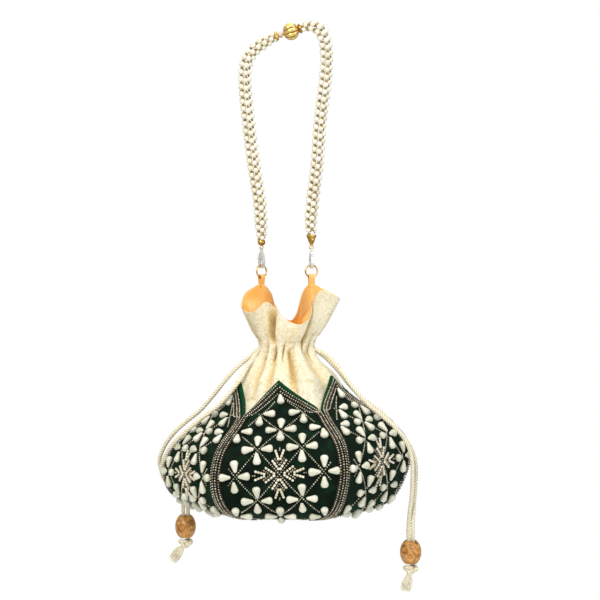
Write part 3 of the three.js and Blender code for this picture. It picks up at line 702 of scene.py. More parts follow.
embroidery = {
    # border lines of seeds: how far in from the petal's edge and from the seam, and their metal
    "lines": [(3.6, 1.4, "silver"), (4.9, 2.8, "bronze"), (6.3, 4.2, "silver"), (7.8, 5.5, "bronze"),
              (9.6, 0, "silver")],      # 0: it stops where the seam begins
    "edgeShift": (-1.4, 0.8),           # the border lies nearer the petal's left edge than its right one
    "seedPitch": {"silver": 2.1, "bronze": 1.6},
    "seedSize": {"silver": 1.4, "bronze": 1.25, "ivory": 1.95},
    "stepAcross": 17.6,
    "stepUp": 20.4,
    "seedLift": {"silver": 1.0, "bronze": 1.0, "ivory": 1.5},
    "petalReach": 7.7,          # flower's centre to the middle of each drop
    "dropLength": 9.8,
    "dropWidth": 6.6,
    "dropDepth": 0.82,          # a share of its width
    "seamMargin": 9,            # drops stay this far from a seam
    "petalMargin": 13,          # and this far from a petal's edge whose notches lie dropNotch down
    "dropNotch": 30,
    "seedMargin": 11.5,         # the lattice's seeds stop this far from the outline
    "tipDrop": 19.0,            # the single drop, down from the petal's tip
    "flakeZ": -360.5,
}
flakeRun = shareAtHeight(embroidery["flakeZ"]) * pouchLength


# Half of a panel's outline, from its base corner up the seam and along the petal to its tip,
# as x and run, with the notch's corner rounded by a moving average.
def petalEdge():
    notchRun = notchShare * pouchLength
    seamRun = np.linspace(0, notchRun, 140)
    seam = np.stack([flatRadius(seamRun / pouchLength) * math.tan(span / 2), seamRun], -1)
    across = np.linspace(1, 0, 140)[1:]
    share = shareAtHeight(tipZ - pouch["notch"] * petalDrop(across))
    petal = np.stack([flatRadius(share) * np.tan(span / 2 * across), share * pouchLength], -1)
    line = np.concatenate([seam, petal])
    length = lengthAlong(line)
    line = atLengths(line, length, np.linspace(0, length[-1], 400))
    reach = 12          # points to each side that the average takes in
    padded = np.concatenate([2 * line[:1] - line[reach:0:-1], line,
                             2 * line[-1:] - line[-2:-reach - 2:-1]])
    kernel = np.hanning(2 * reach + 1)
    kernel /= kernel.sum()
    return np.stack([np.convolve(padded[:, k], kernel, "valid") for k in (0, 1)], -1), notchRun


# Seeds along a half outline, set in from it, every pitch.
def borderLine(edge, notchRun, seamInset, petalInset, pitch):
    slope = unit(np.gradient(edge, axis=0))
    inward = np.stack([-slope[:, 1], slope[:, 0]], -1)
    inset = mix(seamInset, petalInset, smoothstep(edge[:, 1], notchRun - 8, notchRun + 6))
    line = edge + inward * inset[:, None]
    length = lengthAlong(line)
    points = atLengths(line, length, np.arange(0.5, length[-1], pitch))
    lowest = notchRun - 4 if seamInset == 0 else 0
    return points[(points[:, 0] > 0.5) & (points[:, 1] > lowest)]


# Flower centres as x and run; the snowflake is at the lattice's middle.
def latticeNodes():
    i, j = np.meshgrid(np.arange(-3, 4), np.arange(-3, 5), indexing="ij")
    keep = (i + j) % 2 == 0
    i, j = i[keep], j[keep]
    return np.stack([i * embroidery["stepAcross"], flakeRun + j * embroidery["stepUp"]], -1), i, j


# How far points lie inside the panel's outline; negative outside.
def insideBy(points, edge):
    mirrored = np.stack([np.abs(points[:, 0]), points[:, 1]], -1)
    gap = mirrored[:, None] - edge[None]
    distance = np.linalg.norm(gap, axis=-1)
    nearest = distance.argmin(1)
    slope = unit(np.gradient(edge, axis=0))[nearest]
    offset = gap[np.arange(len(points)), nearest]
    side = -slope[:, 1] * offset[:, 0] + slope[:, 0] * offset[:, 1]
    return np.where(side > 0, 1, -1) * distance.min(1)


# Whether places lie far enough in from the seams and from the petal's edge for a drop.
def insideBorder(places):
    x, run = np.abs(places[:, 0]), places[:, 1]
    radius = flatRadius(np.clip(run / pouchLength, 0, 1))
    across = np.arctan(x / radius) / (span / 2)
    drop = embroidery["dropNotch"] * petalDrop(np.minimum(across, 1))
    fromTop = shareAtHeight(tipZ - drop) * pouchLength - run
    fromSeam = radius * math.tan(span / 2) - x
    inside = (run > 0) & (across < 1)
    return inside & (fromSeam > embroidery["seamMargin"]) & (fromTop > embroidery["petalMargin"])


# The drop at the petal's tip, and each flower's four that fit, as centre and way of the fat end.
def flowerDrops():
    nodes, i, j = latticeNodes()
    flowers = nodes[~((i == 0) & (j == 0)) & (np.abs(i) <= 2) & (j >= -2) & (j <= 3)]
    turns = np.array([(1, 0), (-1, 0), (0, 1), (0, -1)], float)
    centres = (flowers[:, None] + embroidery["petalReach"] * turns).reshape(-1, 2)
    directions = np.broadcast_to(turns, (len(flowers), 4, 2)).reshape(-1, 2)
    keep = insideBorder(centres)
    apex = [[0, pouchLength - embroidery["tipDrop"]]]
    return np.concatenate([apex, centres[keep]]), np.concatenate([[[0, -1]], directions[keep]])


# Diagonal lines of silver seeds through the flower centres, between the borders.
def latticeSeeds(edge):
    nodes, i, j = latticeNodes()
    step = np.array([embroidery["stepAcross"], embroidery["stepUp"]])
    length = np.linalg.norm(step)
    along = np.linspace(0, 1, round(length / embroidery["seedPitch"]["silver"]) + 1)[:-1, None]
    lines = [nodes[:, None] + along * step * (sign, 1) for sign in (1, -1)]
    points = np.concatenate([line.reshape(-1, 2) for line in lines])
    return points[(insideBy(points, edge) > embroidery["seedMargin"]) & (points[:, 1] > 1)]


flake = {
    # each chevron opens outward: its arms' start and end, out along the axis and to the side, and its beads
    "inner": ((4.2, 0.9), (10.4, 5.2), 4),
    "outer": ((12.0, 0.9), (18.6, 3.1), 4),
    "silver": ((7.6, 0.4), (12.2, 3.6), 4),
    "bronze": ((9.4, 0.4), (13.6, 3.4), 4),
    "tip": ((19.6, 0.0), (21.2, 0.0), 2),
}


# Four chevrons, one on each axis of the flake: both arms run evenly from start to end.
def chevrons(start, end, count):
    along = np.linspace(0, 1, count)[:, None]
    arm = mix(np.array(start), np.array(end), along)
    slope = np.broadcast_to(np.array(end) - np.array(start), arm.shape)
    points, directions = [], []
    for turn in range(4):
        c, s = math.cos(turn * math.pi / 2), math.sin(turn * math.pi / 2)
        for sign in (-1, 1):
            turned = np.array([[s, c], [sign * c, -sign * s]])
            points.append(arm @ turned)
            directions.append(unit(slope @ turned))
    return np.concatenate(points) + (0, flakeRun), np.concatenate(directions)


# One drop, one bugle bead and one seed: each is turned about its length, and copied many times.
dropProfile = [(0, -0.5), (0.21, -0.485), (0.34, -0.44), (0.5, -0.31), (0.7, -0.1), (0.9, 0.09), (1, 0.22),
               (0.95, 0.34), (0.74, 0.44), (0.4, 0.49), (0, 0.5)]
dropShape = turnedShape([(r / 2, z) for r, z in dropProfile], 14)
tubeShape = turnedShape([(0, -1.1), (0.72, -1.05), (1, -0.8), (1, 0.8), (0.72, 1.05), (0, 1.1)], 8)
seedShape = ballShape(7, 4)


# Drops lie on the velvet, fat end outward, a little uneven as sewn by hand.
def placeDrops(index, centres, directions):
    jitter = random.normal(0, 0.06, len(centres))
    c, s = np.cos(jitter), np.sin(jitter)
    dx = directions[:, 0] * c - directions[:, 1] * s
    dy = directions[:, 0] * s + directions[:, 1] * c
    width = embroidery["dropWidth"]
    place, side, up, out = panelFrames(index, centres[:, 0], centres[:, 1], 0.36 * width + 0.5)
    lengthwise = dx[:, None] * side + dy[:, None] * up
    crosswise = np.cross(lengthwise, out)
    scale = random.uniform(0.94, 1.05, (len(centres), 1))
    axes = np.stack([crosswise * width * scale, out * width * embroidery["dropDepth"] * scale,
                     lengthwise * embroidery["dropLength"] * scale], 1)
    axes[:, 0] *= np.sign(np.linalg.det(axes))[:, None]
    return copies(dropShape, place, axes)


# Round seeds at points of a panel, each a little larger or smaller than the next.
def placeSeeds(index, points, size, lift):
    place, side, up, out = panelFrames(index, points[:, 0], points[:, 1], lift)
    scale = size / 2 * random.uniform(0.85, 1.1, (len(points), 1))
    axes = np.stack([side * scale, up * scale, out * scale], 1)
    return copies(seedShape, place, axes)


# Bugle beads lie along their own directions on the panel.
def placeTubes(index, points, directions, size, lift):
    place, side, up, out = panelFrames(index, points[:, 0], points[:, 1], lift)
    scale = size / 2 * random.uniform(0.9, 1.08, (len(points), 1))
    lengthwise = directions[:, :1] * side + directions[:, 1:] * up
    axes = np.stack([np.cross(out, lengthwise) * scale, out * scale, lengthwise * scale], 1)
    return copies(tubeShape, place, axes)


# One value to each copy of a shape, repeated for its vertices.
def perCopy(values, shape):
    return np.repeat(values, len(shape[0]))


# A panel's beadwork: the drops, the borders and lattice in silver and bronze seeds, and the flake.
def addEmbroidery(index, edge, notchRun):
    centres, directions = flowerDrops()
    tones = random.uniform(0.2, 1, len(centres))
    drops = addObject(f"drop_pearls_{index + 1}", *placeDrops(index, centres, directions), dropPearl,
                      {"tone": perCopy(tones, dropShape)})
    size, lift = embroidery["seedSize"], embroidery["seedLift"]
    toneRange = {"silver": (0.4, 0.95), "bronze": (0, 0.35)}
    for metal in ("silver", "bronze"):
        pitch = embroidery["seedPitch"][metal]
        parts = [borderLine(edge, notchRun, seam, petal + shift, pitch) * (side, 1)
                 for petal, seam, kind in embroidery["lines"] if kind == metal
                 for side, shift in zip((-1, 1), embroidery["edgeShift"])] + [chevrons(*flake[metal])[0]]
        if metal == "silver":
            parts += [latticeSeeds(edge), chevrons(*flake["tip"])[0]]
        points = np.concatenate(parts)
        points = points[points[:, 1] > 0.5]
        tones = random.uniform(*toneRange[metal], len(points))
        made = addObject(f"{metal}_seeds_{index + 1}", *placeSeeds(index, points, size[metal], lift[metal]),
                         seeds, {"tone": perCopy(tones, seedShape)})
    arms = zip(chevrons(*flake["inner"]), chevrons(*flake["outer"]))
    places, directions = (np.concatenate(both) for both in arms)
    tubesMade = placeTubes(index, places, directions, size["ivory"], lift["ivory"])
    ivory = addObject(f"ivory_seeds_{index + 1}", *tubesMade, ivorySeed,
                      {"tone": perCopy(random.uniform(0, 1, len(places)), tubeShape)})
    return len(centres), len(points)


panelEdge, panelNotch = petalEdge()
for panelIndex in range(pouch["panels"]):
    addVelvetPanel(panelIndex)
    counts = addEmbroidery(panelIndex, panelEdge, panelNotch)
print("pouch made, drops and seeds on a panel:", counts)


# Collar and lining

collar = {
    "neckRadius": 21.7,
    "neckCentre": 0.8,
    "shoulderAt": (0.28, 0.47),     # shares of the way out and down from the neck to the petals' tips
    "flareOut": 1.2,
    "skirtInset": 3.4,
    # the mouth's edge: x, y, z, and the direction at the neck that its thread comes from, in degrees
    "mouth": [
        (21, 0, -209, 0), (15, 6, -216, 22), (11, 15, -231, 44), (4, 20, -240, 68), (-4, 19, -237, 92),
        (-11, 13, -227, 118), (-15, 5, -215, 142), (-21, 0, -209, 162), (-28, 2, -212, 171),
        (-36, 3, -218, 180), (-38.5, -4, -230, 191), (-32, -11, -233.3, 202), (-25, -15.5, -231, 213),
        (-17, -17, -224.4, 224), (-11, -16.5, -227.5, 236), (-4, -20, -236, 250), (4, -23, -241.4, 264),
        (12.5, -24.5, -243, 279), (20, -22, -237.5, 294), (23.5, -18.5, -225, 306), (29, -15.5, -215, 316),
        (38, -12.5, -217.5, 325), (45.5, -7, -221.5, 334), (40, -2, -218, 343), (30, 1, -213, 352)],
    "columns": 400,
    "rows": 110,
    "neckShare": 4 / 6,
    "gathers": 17,
    "gatherDepth": 3.6,
    "gatherReach": (0.17, 0.085),   # how far the gathers run, down and up from the neck
    # folds down from the mouth: direction in degrees, spread to its left and right, depth in mm
    "deepFolds": [(239, 10, 3, 4.2), (307, 7, 5, 3.2), (196, 6, 6, 1.5), (275, 8, 8, 0.9), (110, 6, 8, 2.5),
                  (40, 7, 7, 2.5)],
    # folds over the shoulders: direction at the neck and at the skirt, half width, depth, below 0 to swell
    "shoulderFolds": [(279, 286, 5, 4.2), (299, 301, 13, -2.6), (246, 260, 5, 2.6), (224, 247, 5, 2.4),
                      (234, 253, 6, -1.2), (316, 322, 6, 2.4), (203, 214, 7, -1.6), (338, 340, 9, -1.6),
                      (120, 116, 8, 3), (66, 70, 8, 2.6), (22, 26, 7, 2.2), (158, 152, 7, 2.4)],
    "cordExits": (196, 348),
    "bunch": 1.8,                   # the cloth stands out this far where the cords leave
    "bunchWidth": 14,
    "stitches": (0.085, -0.035),    # the channel's two seams, above and below the neck
    "stitchDepth": 0.7,
    "patternRound": 250,            # the weave's pattern once round the cloth, in mm
    "thickness": 0.7,
}
lining = {
    "rowsInside": 13,
    "inside": 1.7,          # further in than the collar's skirt, down in the pouch
    "gap": 1.6,             # in from the collar
    "gatherRoom": 3.0,      # and this much more where the collar is gathered
    "lipGap": 1.2,
    "thickness": 0.5,
}


# The mouth's edge where a thread of cloth from this direction at the neck ends.
def mouthAt(around):
    mouth = np.array(collar["mouth"], float)
    degrees = np.append(mouth[:, 3], 360)
    place = np.interp(360 * np.mod(around, 1), degrees, np.arange(len(mouth) + 1))
    return catmull(mouth[:, :3], place / len(mouth), closed=True)


# Threads of cloth from the skirt under the petals, up through the neck, to the mouth.
def collarThreads(around, alongThread):
    azimuth = pouch["turn"] + tau * around
    out = np.stack([np.cos(azimuth), np.sin(azimuth), 0 * azimuth], -1)
    centre = np.array([collar["neckCentre"], 0, 0])

    def ring(radius, z):
        return centre + out * radius + (0, 0, z)

    neck = ring(collar["neckRadius"], pouch["neckZ"])
    mouth = mouthAt(around)
    flare = (neck + mouth) / 2 + collar["flareOut"] * out
    shares = (skirtShare, (skirtShare + 1) / 2, 1.0)
    low = [pouchPoints(azimuth, share, -collar["skirtInset"]) for share in shares]
    outward, downward = collar["shoulderAt"]
    shoulder = ring(mix(collar["neckRadius"], pouch["tip"][0], outward), mix(pouch["neckZ"], tipZ, downward))
    return catmull(np.stack([*low, shoulder, neck, flare, mouth]), alongThread)


# Differences round a closed surface.
def wrapGradient(points):
    return (np.roll(points, -1, axis=1) - np.roll(points, 1, axis=1)) / 2


# Outward directions of a closed surface.
def sheetNormals(points):
    return unit(np.cross(wrapGradient(points), np.gradient(points, axis=0)))


# A sum of cosines round the bag with whole numbers of waves, random in size and phase, near 1 at most.
def waves(around, seed, low, high, count):
    source = np.random.default_rng(seed)
    numbers = source.integers(low, high + 1, count)
    sizes = source.uniform(0.5, 1, count)
    phases = source.uniform(0, tau, count)
    total = (sizes[:, None] * np.cos(tau * numbers[:, None] * around + phases[:, None])).sum(0)
    return total / sizes.sum() * 1.6


# How many degrees round the bag lies past a direction, from -180 to 180.
def degreesFrom(around, middle):
    return np.mod(360 * around - middle + 180, 360) - 180


# Tight gathers at the channel: |cos|^0.7 ridges with sharp valleys, unevenly spaced and deep, which die
# out above and below the neck.
def channelGathers(around, fromNeck):
    down, up = collar["gatherReach"]
    uneven = 1 + 0.4 * waves(around, 23, 5, 19, 7)
    near = np.exp(-(fromNeck / np.where(fromNeck > 0, up * uneven, down)) ** 2)
    warped = around + 0.007 * waves(around, 3, 2, 7, 4)
    ridge = np.abs(np.cos(math.pi * collar["gathers"] * warped)) ** 0.7
    depth = np.clip(1 + 0.5 * waves(around, 5, 3, 11, 6), 0.35, 1.7)
    return collar["gatherDepth"] * (ridge - 0.62) * depth * near


# Folds down from the mouth: bells across, each with its own spread to either side.
def mouthFolds(around, rise):
    depth = 0
    for middle, left, right, size in collar["deepFolds"]:
        gap = 360 * around - middle
        depth = depth + size * np.exp(-(gap / np.where(gap < 0, left, right)) ** 2)
    return depth * smoothstep(rise, 0.69, 0.76) * (1 - 0.6 * smoothstep(rise, 0.88, 1.0))


# Folds over the shoulders: bells across, along lines that slant from the neck to the skirt.
def shoulderFolds(around, rise):
    depth = 0
    for atNeck, atSkirt, width, size in collar["shoulderFolds"]:
        gap = degreesFrom(around, mix(atSkirt, atNeck, rise / collar["neckShare"]))
        depth = depth + size * np.exp(-(gap / width) ** 2)
    return depth * smoothstep(rise, 0.1, 0.4) * (1 - smoothstep(rise, 0.62, 0.72))


# The cloth stands out where the cords leave the channel.
def cordBunches(around, fromNeck):
    across = sum(np.exp(-(degreesFrom(around, middle) / collar["bunchWidth"]) ** 2)
                 for middle in collar["cordExits"])
    return collar["bunch"] * across * np.exp(-(fromNeck / 0.05) ** 2)


# Threads of cloth pushed in and out by the gathers, soft waves, folds, bunches and the two lines of
# stitching. Also gives how deep in a fold each place lies, 0 to 1, for the brocade's painted shade, and how
# far the folds go in.
def collarSurface():
    around = np.arange(collar["columns"]) / collar["columns"]
    up = np.linspace(0, 1, collar["rows"] + 1)
    points = collarThreads(around, up)
    normals = sheetNormals(points)
    rise = up[:, None]
    fromNeck = rise - collar["neckShare"]
    gather = channelGathers(around, fromNeck)
    shoulder = smoothstep(rise, 0.12, 0.45) * (1 - smoothstep(rise, 0.62, 0.7))
    flap = smoothstep(rise, 0.72, 0.84) * (1 - 0.75 * smoothstep(rise, 0.9, 1.0))
    soft = 1.5 * waves(around, 11, 8, 17, 7) * shoulder + 0.5 * waves(around, 17, 10, 24, 7) * flap
    deep = mouthFolds(around, rise)
    low = shoulderFolds(around, rise)
    stitch = sum(np.exp(-((fromNeck - place) / 0.008) ** 2) for place in collar["stitches"])
    # how deep in a fold each place lies, 0 to 1: the brocade paints shade from it
    foldShade = np.clip(smoothstep(-gather, 0.2, 2.2) + 0.2 * deep + 0.3 * smoothstep(-soft, 0.9, 2.6)
                   + 0.17 * np.maximum(low, 0), 0, 1)
    push = gather + soft - deep - low + cordBunches(around, fromNeck) - collar["stitchDepth"] * stitch
    return points + normals * push[..., None], foldShade, deep + np.maximum(low, 0)


# Flat places on the cloth in mm: round it at an even pace, and up it by its length.
def clothMap(points):
    rise = np.linalg.norm(np.diff(points, axis=0), axis=-1).mean(1)
    up = np.concatenate([[0], np.cumsum(rise)])
    across = np.linspace(0, collar["patternRound"], points.shape[1] + 1)
    return np.stack(np.meshgrid(across, up), -1)


# Gives a sheet of cloth its thickness, inward.
def thicken(made, thickness):
    thick = made.modifiers.new("cloth", "SOLIDIFY")
    thick.thickness = thickness * mm
    thick.offset = -1


# The brocade collar, and what the lining follows of it.
def addCollar():
    points, foldShade, deep = collarSurface()
    rows, columns = points.shape[:2]
    uv = gridUv(clothMap(points), rows, columns, closed=True)
    faces = gridFaces(rows, columns, closed=True)
    # the fold value gives where the brocade is darkened with painted shade
    made = addObject("collar_cloth", points, faces, brocade, {"foldShade": foldShade}, uv)
    thicken(made, collar["thickness"])
    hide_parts("brocade_collar")
    return points, deep


# Satin inside the collar and down into the pouch, a little inside both, and joined to the collar's lip.
def addLining(cloth, deep):
    rows, columns = cloth.shape[:2]
    azimuth = pouch["turn"] + fullTurn(columns)
    low = np.linspace(0, 1, lining["rowsInside"] + 1)[:-1, None]
    inside = pouchPoints(azimuth, skirtShare * low, -(collar["skirtInset"] + lining["inside"]))
    up = np.linspace(0, 1, rows)
    smoothed = collarThreads(np.arange(columns) / columns, up)
    normals = sheetNormals(smoothed)
    room = lining["gatherRoom"] * smoothstep(up, 0.2, 0.55) * (1 - smoothstep(up, 0.84, 0.97))
    inner = smoothed - normals * (lining["gap"] + room[:, None] + deep)[..., None]
    close = smoothstep(up, 0.88, 1.0)[:, None, None]
    points = np.concatenate([inside, mix(inner, cloth - normals * lining["lipGap"], close)])
    made = addObject("lining_cloth", points, gridFaces(len(points), columns, closed=True), satin)
    thicken(made, lining["thickness"])
    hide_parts("satin_lining")


addLining(*addCollar())
print("collar and lining made")


# Strap

strap = {
    "hangSpan": 21.2,
    "ballCentre": (3.8, 0, 5.5),
    "rise": math.radians(18),
    "cupStart": {"left": -12.08, "right": 7.1},
    "cupLength": 2.4,
    "startInCup": 0.7,      # a share of the cup's length
    "endInCap": 0.5,
    "capTop": {"left": -171.45, "right": -167.45},
    "routes": {
        "left": [(-20, -4.5), (-28, -10.2), (-33.6, -19), (-35.7, -33), (-32.7, -69.7), (-28, -108),
                 (-23.3, -138), (-21.6, -160)],
        "right": [(20.5, 10.4), (27.8, 7.5), (32.6, -3), (33.8, -20), (32.7, -36), (28.5, -70),
                  (25.6, -108), (22, -138), (20.6, -155)]},
    "strands": 5,
    "reach": (2.5, 3.6),
    "pitch": 6.2,
    "pearl": 4.8,
    "seed": 2.0,
    "phaseStep": 0.4,       # a strand's pearls lie beside the next one's seeds
    "drawIn": 12,           # the strands come together over one in so many parts at each end
    "endSize": 0.8,         # of the pearls there
}
sides = {"left": -1, "right": 1}
ballAxis = np.array([math.cos(strap["rise"]), 0, math.sin(strap["rise"])])


# A point on the ball's axis.
def alongBall(distance):
    return np.array(strap["ballCentre"]) + ballAxis * distance


# 0 at the ends of a half and 1 where its strands stand apart.
def apart(share):
    return smoothstep(strap["drawIn"] * np.minimum(share, 1 - share), 0, 1)


# One strand: it stands round the middle line of its half and draws in at both ends.
def strandCurve(side, index):
    sign = sides[side]
    start = alongBall(strap["cupStart"][side] + sign * strap["cupLength"] * strap["startInCup"])
    end = (sign * strap["hangSpan"], 0, strap["capTop"][side] - strap["endInCap"])
    line = arcCurve([start, *[(x, 0, z) for x, z in strap["routes"][side]], end])
    share = np.linspace(0, 1, 25)
    tangent = sample(slopes(line), share)
    tangent[0] = sign * ballAxis
    tangent[-1] = (0, 0, -1)
    depth = np.array([0.0, 1.0, 0.0])
    reach = mix(*strap["reach"], apart(share))[:, None]
    angle = tau * index / strap["strands"]
    beside = np.cross(tangent, depth)
    return arcCurve(sample(line, share) + reach * (beside * math.cos(angle) + depth * math.sin(angle)))


pearlShape = ballShape(16, 10)
goldShape = ballShape(10, 6)


# Beads threaded on a curve, pressed a little flat along it.
def threaded(shape, curve, places, shares, size, flat):
    tangent = sample(slopes(curve), shares)
    beside = unit(np.cross(tangent, (0, 1, 0)))
    axes = np.stack([beside, np.cross(tangent, beside), tangent * flat], 1)
    return copies(shape, places, axes * size)


# One strand's pearls as a piece; its gold seeds, which lie between them, are given back.
def addStrand(side, index):
    curve = strandCurve(side, index)
    count = int(curve[1][-1] / strap["pitch"])
    phase = 0.1 + strap["phaseStep"] * index % 1
    shares = (np.arange(count) + phase) / count
    places = sample(curve, shares + random.normal(0, 0.0006, count))
    size = strap["pearl"] / 2 * mix(strap["endSize"], 1.0, apart(shares)) * random.uniform(0.96, 1.04, count)
    vertices, faces = threaded(pearlShape, curve, places, shares, size[:, None, None], 0.97)
    tones = perCopy(random.uniform(0.1, 1, count), pearlShape)
    pearls = addObject(f"pearls_{side}_{index + 1}", vertices, faces, pearl, {"tone": tones}, body="strap")
    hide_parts(f"strand_{side}_{index + 1}")
    between = np.clip((np.arange(count + 1) + phase - 0.5) / count, 0, 1)
    return threaded(goldShape, curve, sample(curve, between), between, strap["seed"] / 2, 0.85)


for sideName in sides:
    goldSeeds = joined([addStrand(sideName, i) for i in range(strap["strands"])])
    made = addObject(f"gold_seeds_{sideName}", *goldSeeds, seedGold, body="strap")
print("strap made")


# Drawcords, beads, knots and tails

drawcords = {
    "radius": 1.85,
    "pitch": 7.5,
    "routes": {
        "left_outer": [
            (-18.5, -1.5, -262.5), (-24.5, -4, -265.5), (-32, -8, -271.5), (-42, -11, -280),
            (-52, -11, -291), (-62, -9, -303.5), (-73, -7, -316), (-84, -4, -325), (-95, 0, -335),
            (-104, 5, -347), (-109, 12, -360), (-107, 22, -372), (-99.5, 32, -381), (-93.8, 37, -390),
            (-90.9, 38.2, -399), (-90.6, 38, -410)],
        "left_inner": [
            (-18.5, -4.5, -262.5), (-24.9, -8.6, -267.6), (-31.5, -17, -276.5), (-38, -25, -288),
            (-47, -28, -300), (-57, -29, -311), (-69, -28, -320), (-81, -25, -330), (-93, -19, -341),
            (-102, -10, -354), (-106.5, 2, -367), (-104, 14, -378), (-96, 25, -387.5), (-89.3, 33.4, -395),
            (-86.7, 37.2, -402), (-86.4, 38, -411)],
        "right_front": [
            (19, -3.5, -263), (25.3, -7.2, -265), (33.5, -13.5, -268.5), (42, -19, -277), (50, -23, -288),
            (59, -26, -300), (69, -27, -310.5), (81, -26, -320.5), (93.2, -23.5, -331.5),
            (102, -20.5, -344.5), (105.5, -18, -358), (106, -16, -372), (105.5, -13, -388),
            (104, -10, -402), (103.1, -8, -415), (103.1, -8, -427)],
        "right_back": [
            (19.5, 0.5, -262.5), (25.8, 2.6, -266.1), (34.5, 7.5, -273), (44, 12, -283), (54, 14, -295.5),
            (65.4, 14.2, -307.3), (78.7, 13.4, -317.2), (90.4, 12.4, -328), (101, 10, -341),
            (108.5, 8, -354), (110.5, 5, -368), (109.5, 1, -383), (108, -4, -398), (107, -7.5, -411),
            (106.9, -8, -420), (106.9, -8, -430)]},
    "beads": {"left": (-88.5, 38, -420.3), "right": (105, -8, -435.6)},
    "beadRadius": 9,
    "beadLength": 19.6,
    "bore": 4.3,
    "knotSize": (6.67, 4.93, 4.5),
    "knotGap": 0.3,         # under the bead
    "knotRadius": 1.75,     # of the rope, pulled tight
    "knotPitch": 6,
}
tails = {
    "leans": {"left": (-0.6, 0, -0.8), "right": (-0.25, 0, -0.97)},
    "yarns": 130,
    "steps": 12,
    "radius": 0.27,
    "length": 16,
    "spread": (1.5, 3.1),   # half width at the knot, and how much more at the end
    "bow": 0.9,
    "startIn": 1.2,         # the yarns start this far inside the knot's surface
}


# How far out on one of three twisted strands each place of a rope lies, 0 in the grooves.
def ropeLobes(angle, run, pitch):
    return np.abs(np.cos(1.5 * (angle[None] - tau * run[:, None] / pitch)))


# Rope of three strands: the section has three lobes and turns once in each pitch.
def ropePart(path, radius, pitch, steps, corners=24):
    curve = arcCurve(path)
    centre = sample(curve, np.linspace(0, 1, steps + 1))
    run = np.linspace(0, curve[1][-1], steps + 1)
    lobes = ropeLobes(fullTurn(corners), run, pitch)
    vertices, faces = tubes(centre[None], (radius * (0.7 + 0.3 * lobes ** 0.65))[None], corners)
    return vertices, faces, lobes.ravel(), centre, run[-1]


# One cord, from inside the channel to the bottom of its bead, with its middle line and its length.
def addCord(name):
    side = name.split("_")[0]
    route = drawcords["routes"][name]
    x, y, _ = route[-1]
    bottom = drawcords["beads"][side][2] - drawcords["beadLength"] / 2
    vertices, faces, lobes, centre, length = ropePart([*route, (x, y, bottom)], drawcords["radius"],
                                                      drawcords["pitch"], 340)
    # the lobes carry the painted shade in the rope's grooves
    made = addObject(f"rope_{name}", vertices, faces, cordYarn, {"groove": lobes})
    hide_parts(f"cord_{name}")
    return made, centre, length


# Barrel bead: its half width falls off as the root of 1 - 0.7 height^2, with rounded rims and a bore.
def addWoodBead(side):
    half, radius, bore = drawcords["beadLength"] / 2, drawcords["beadRadius"], drawcords["bore"]
    up = np.linspace(-1, 1, 41)
    outer = np.stack([radius * np.sqrt(1 - 0.7 * up ** 2), half * up], -1)
    lip = np.array([[bore + 0.5, half - 0.05], [bore + 0.1, half - 0.35], [bore, half - 0.9]])
    loop = np.concatenate([outer, lip, lip[::-1] * (1, -1), outer[:1]])
    made = addTurned(f"burl_bead_{side}", f"wood_bead_{side}", loop, upright, drawcords["beads"][side], wood,
                     f"wood_bead_{side}_body", segments=48)
    return made


# The pair of cords tied in one knot: a rope that runs round a trefoil,
# (sin t + 2 sin 2t, -sin 3t, cos t - 2 cos 2t), scaled to the knot's size.
def addKnot(side):
    t = np.linspace(0, tau, 260)
    sizes = np.array(drawcords["knotSize"])
    radius = drawcords["knotRadius"]
    centre = np.array(drawcords["beads"][side])
    centre[2] -= drawcords["beadLength"] / 2 + drawcords["knotGap"] + sizes[2]
    shape = np.stack([np.sin(t) + 2 * np.sin(2 * t), -np.sin(3 * t), np.cos(t) - 2 * np.cos(2 * t)], -1)
    path = centre + shape * (sizes - radius - (0, 0.6, 0)) / (2.75, 1.0, 2.75)
    angle = fullTurn(16)
    lobes = ropeLobes(angle, lengthAlong(path), drawcords["knotPitch"])
    tangent = unit(np.gradient(path, axis=0))
    beside = unit(np.cross(tangent, unit(path - centre)))
    third = np.cross(tangent, beside)
    rim = beside[:, None] * np.cos(angle)[:, None] + third[:, None] * np.sin(angle)[:, None]
    points = path[:, None] + (radius * (0.78 + 0.22 * lobes))[..., None] * rim
    # the lobes carry the painted shade in the rope's grooves
    made = addObject(f"rope_knot_{side}", points, gridFaces(len(path), len(angle), closed=True), cordYarn,
                     {"groove": lobes})
    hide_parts(f"knot_{side}")
    return made, centre


# Frayed ends: loose yarns that leave the knot close together and spread, each bowed its own way.
def addTail(side, knotCentre):
    count, steps = tails["yarns"], tails["steps"]
    lean = unit(np.array(tails["leans"][side], float))
    beside = unit(np.cross(lean, (0, 1, 0)))
    depth = np.cross(lean, beside)
    angle = random.uniform(0, tau, count)[:, None]
    out = np.sqrt(random.uniform(0, 1, count))[:, None]
    reach = np.linspace(0, 1, steps + 1)
    start = knotCentre + lean * (1 / np.linalg.norm(lean / drawcords["knotSize"]) - tails["startIn"])
    length = tails["length"] * random.uniform(0.72, 1.04, count)
    atKnot, more = tails["spread"]
    spread = atKnot + more * reach ** 1.2
    bow = random.normal(0, tails["bow"], (count, 2))
    sideways = np.cos(angle) * out * spread + np.sin(math.pi * reach) * bow[:, :1]
    inward = np.sin(angle) * out * spread + 0.5 * np.sin(2 * math.pi * reach) * bow[:, 1:]
    paths = (start + (length[:, None] * reach)[..., None] * lean + sideways[..., None] * beside
             + inward[..., None] * depth)
    taper = tails["radius"] * (1 - 0.75 * reach ** 2)
    vertices, faces = tubes(paths, np.broadcast_to(taper[None, :, None], (count, steps + 1, 6)), 6)
    # 1 everywhere: the loose yarns get none of the painted shade in the grooves
    made = addObject(f"frayed_tail_{side}", vertices, faces, cordYarn, {"groove": np.ones(len(vertices))})
    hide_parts(f"tail_{side}")
    return made


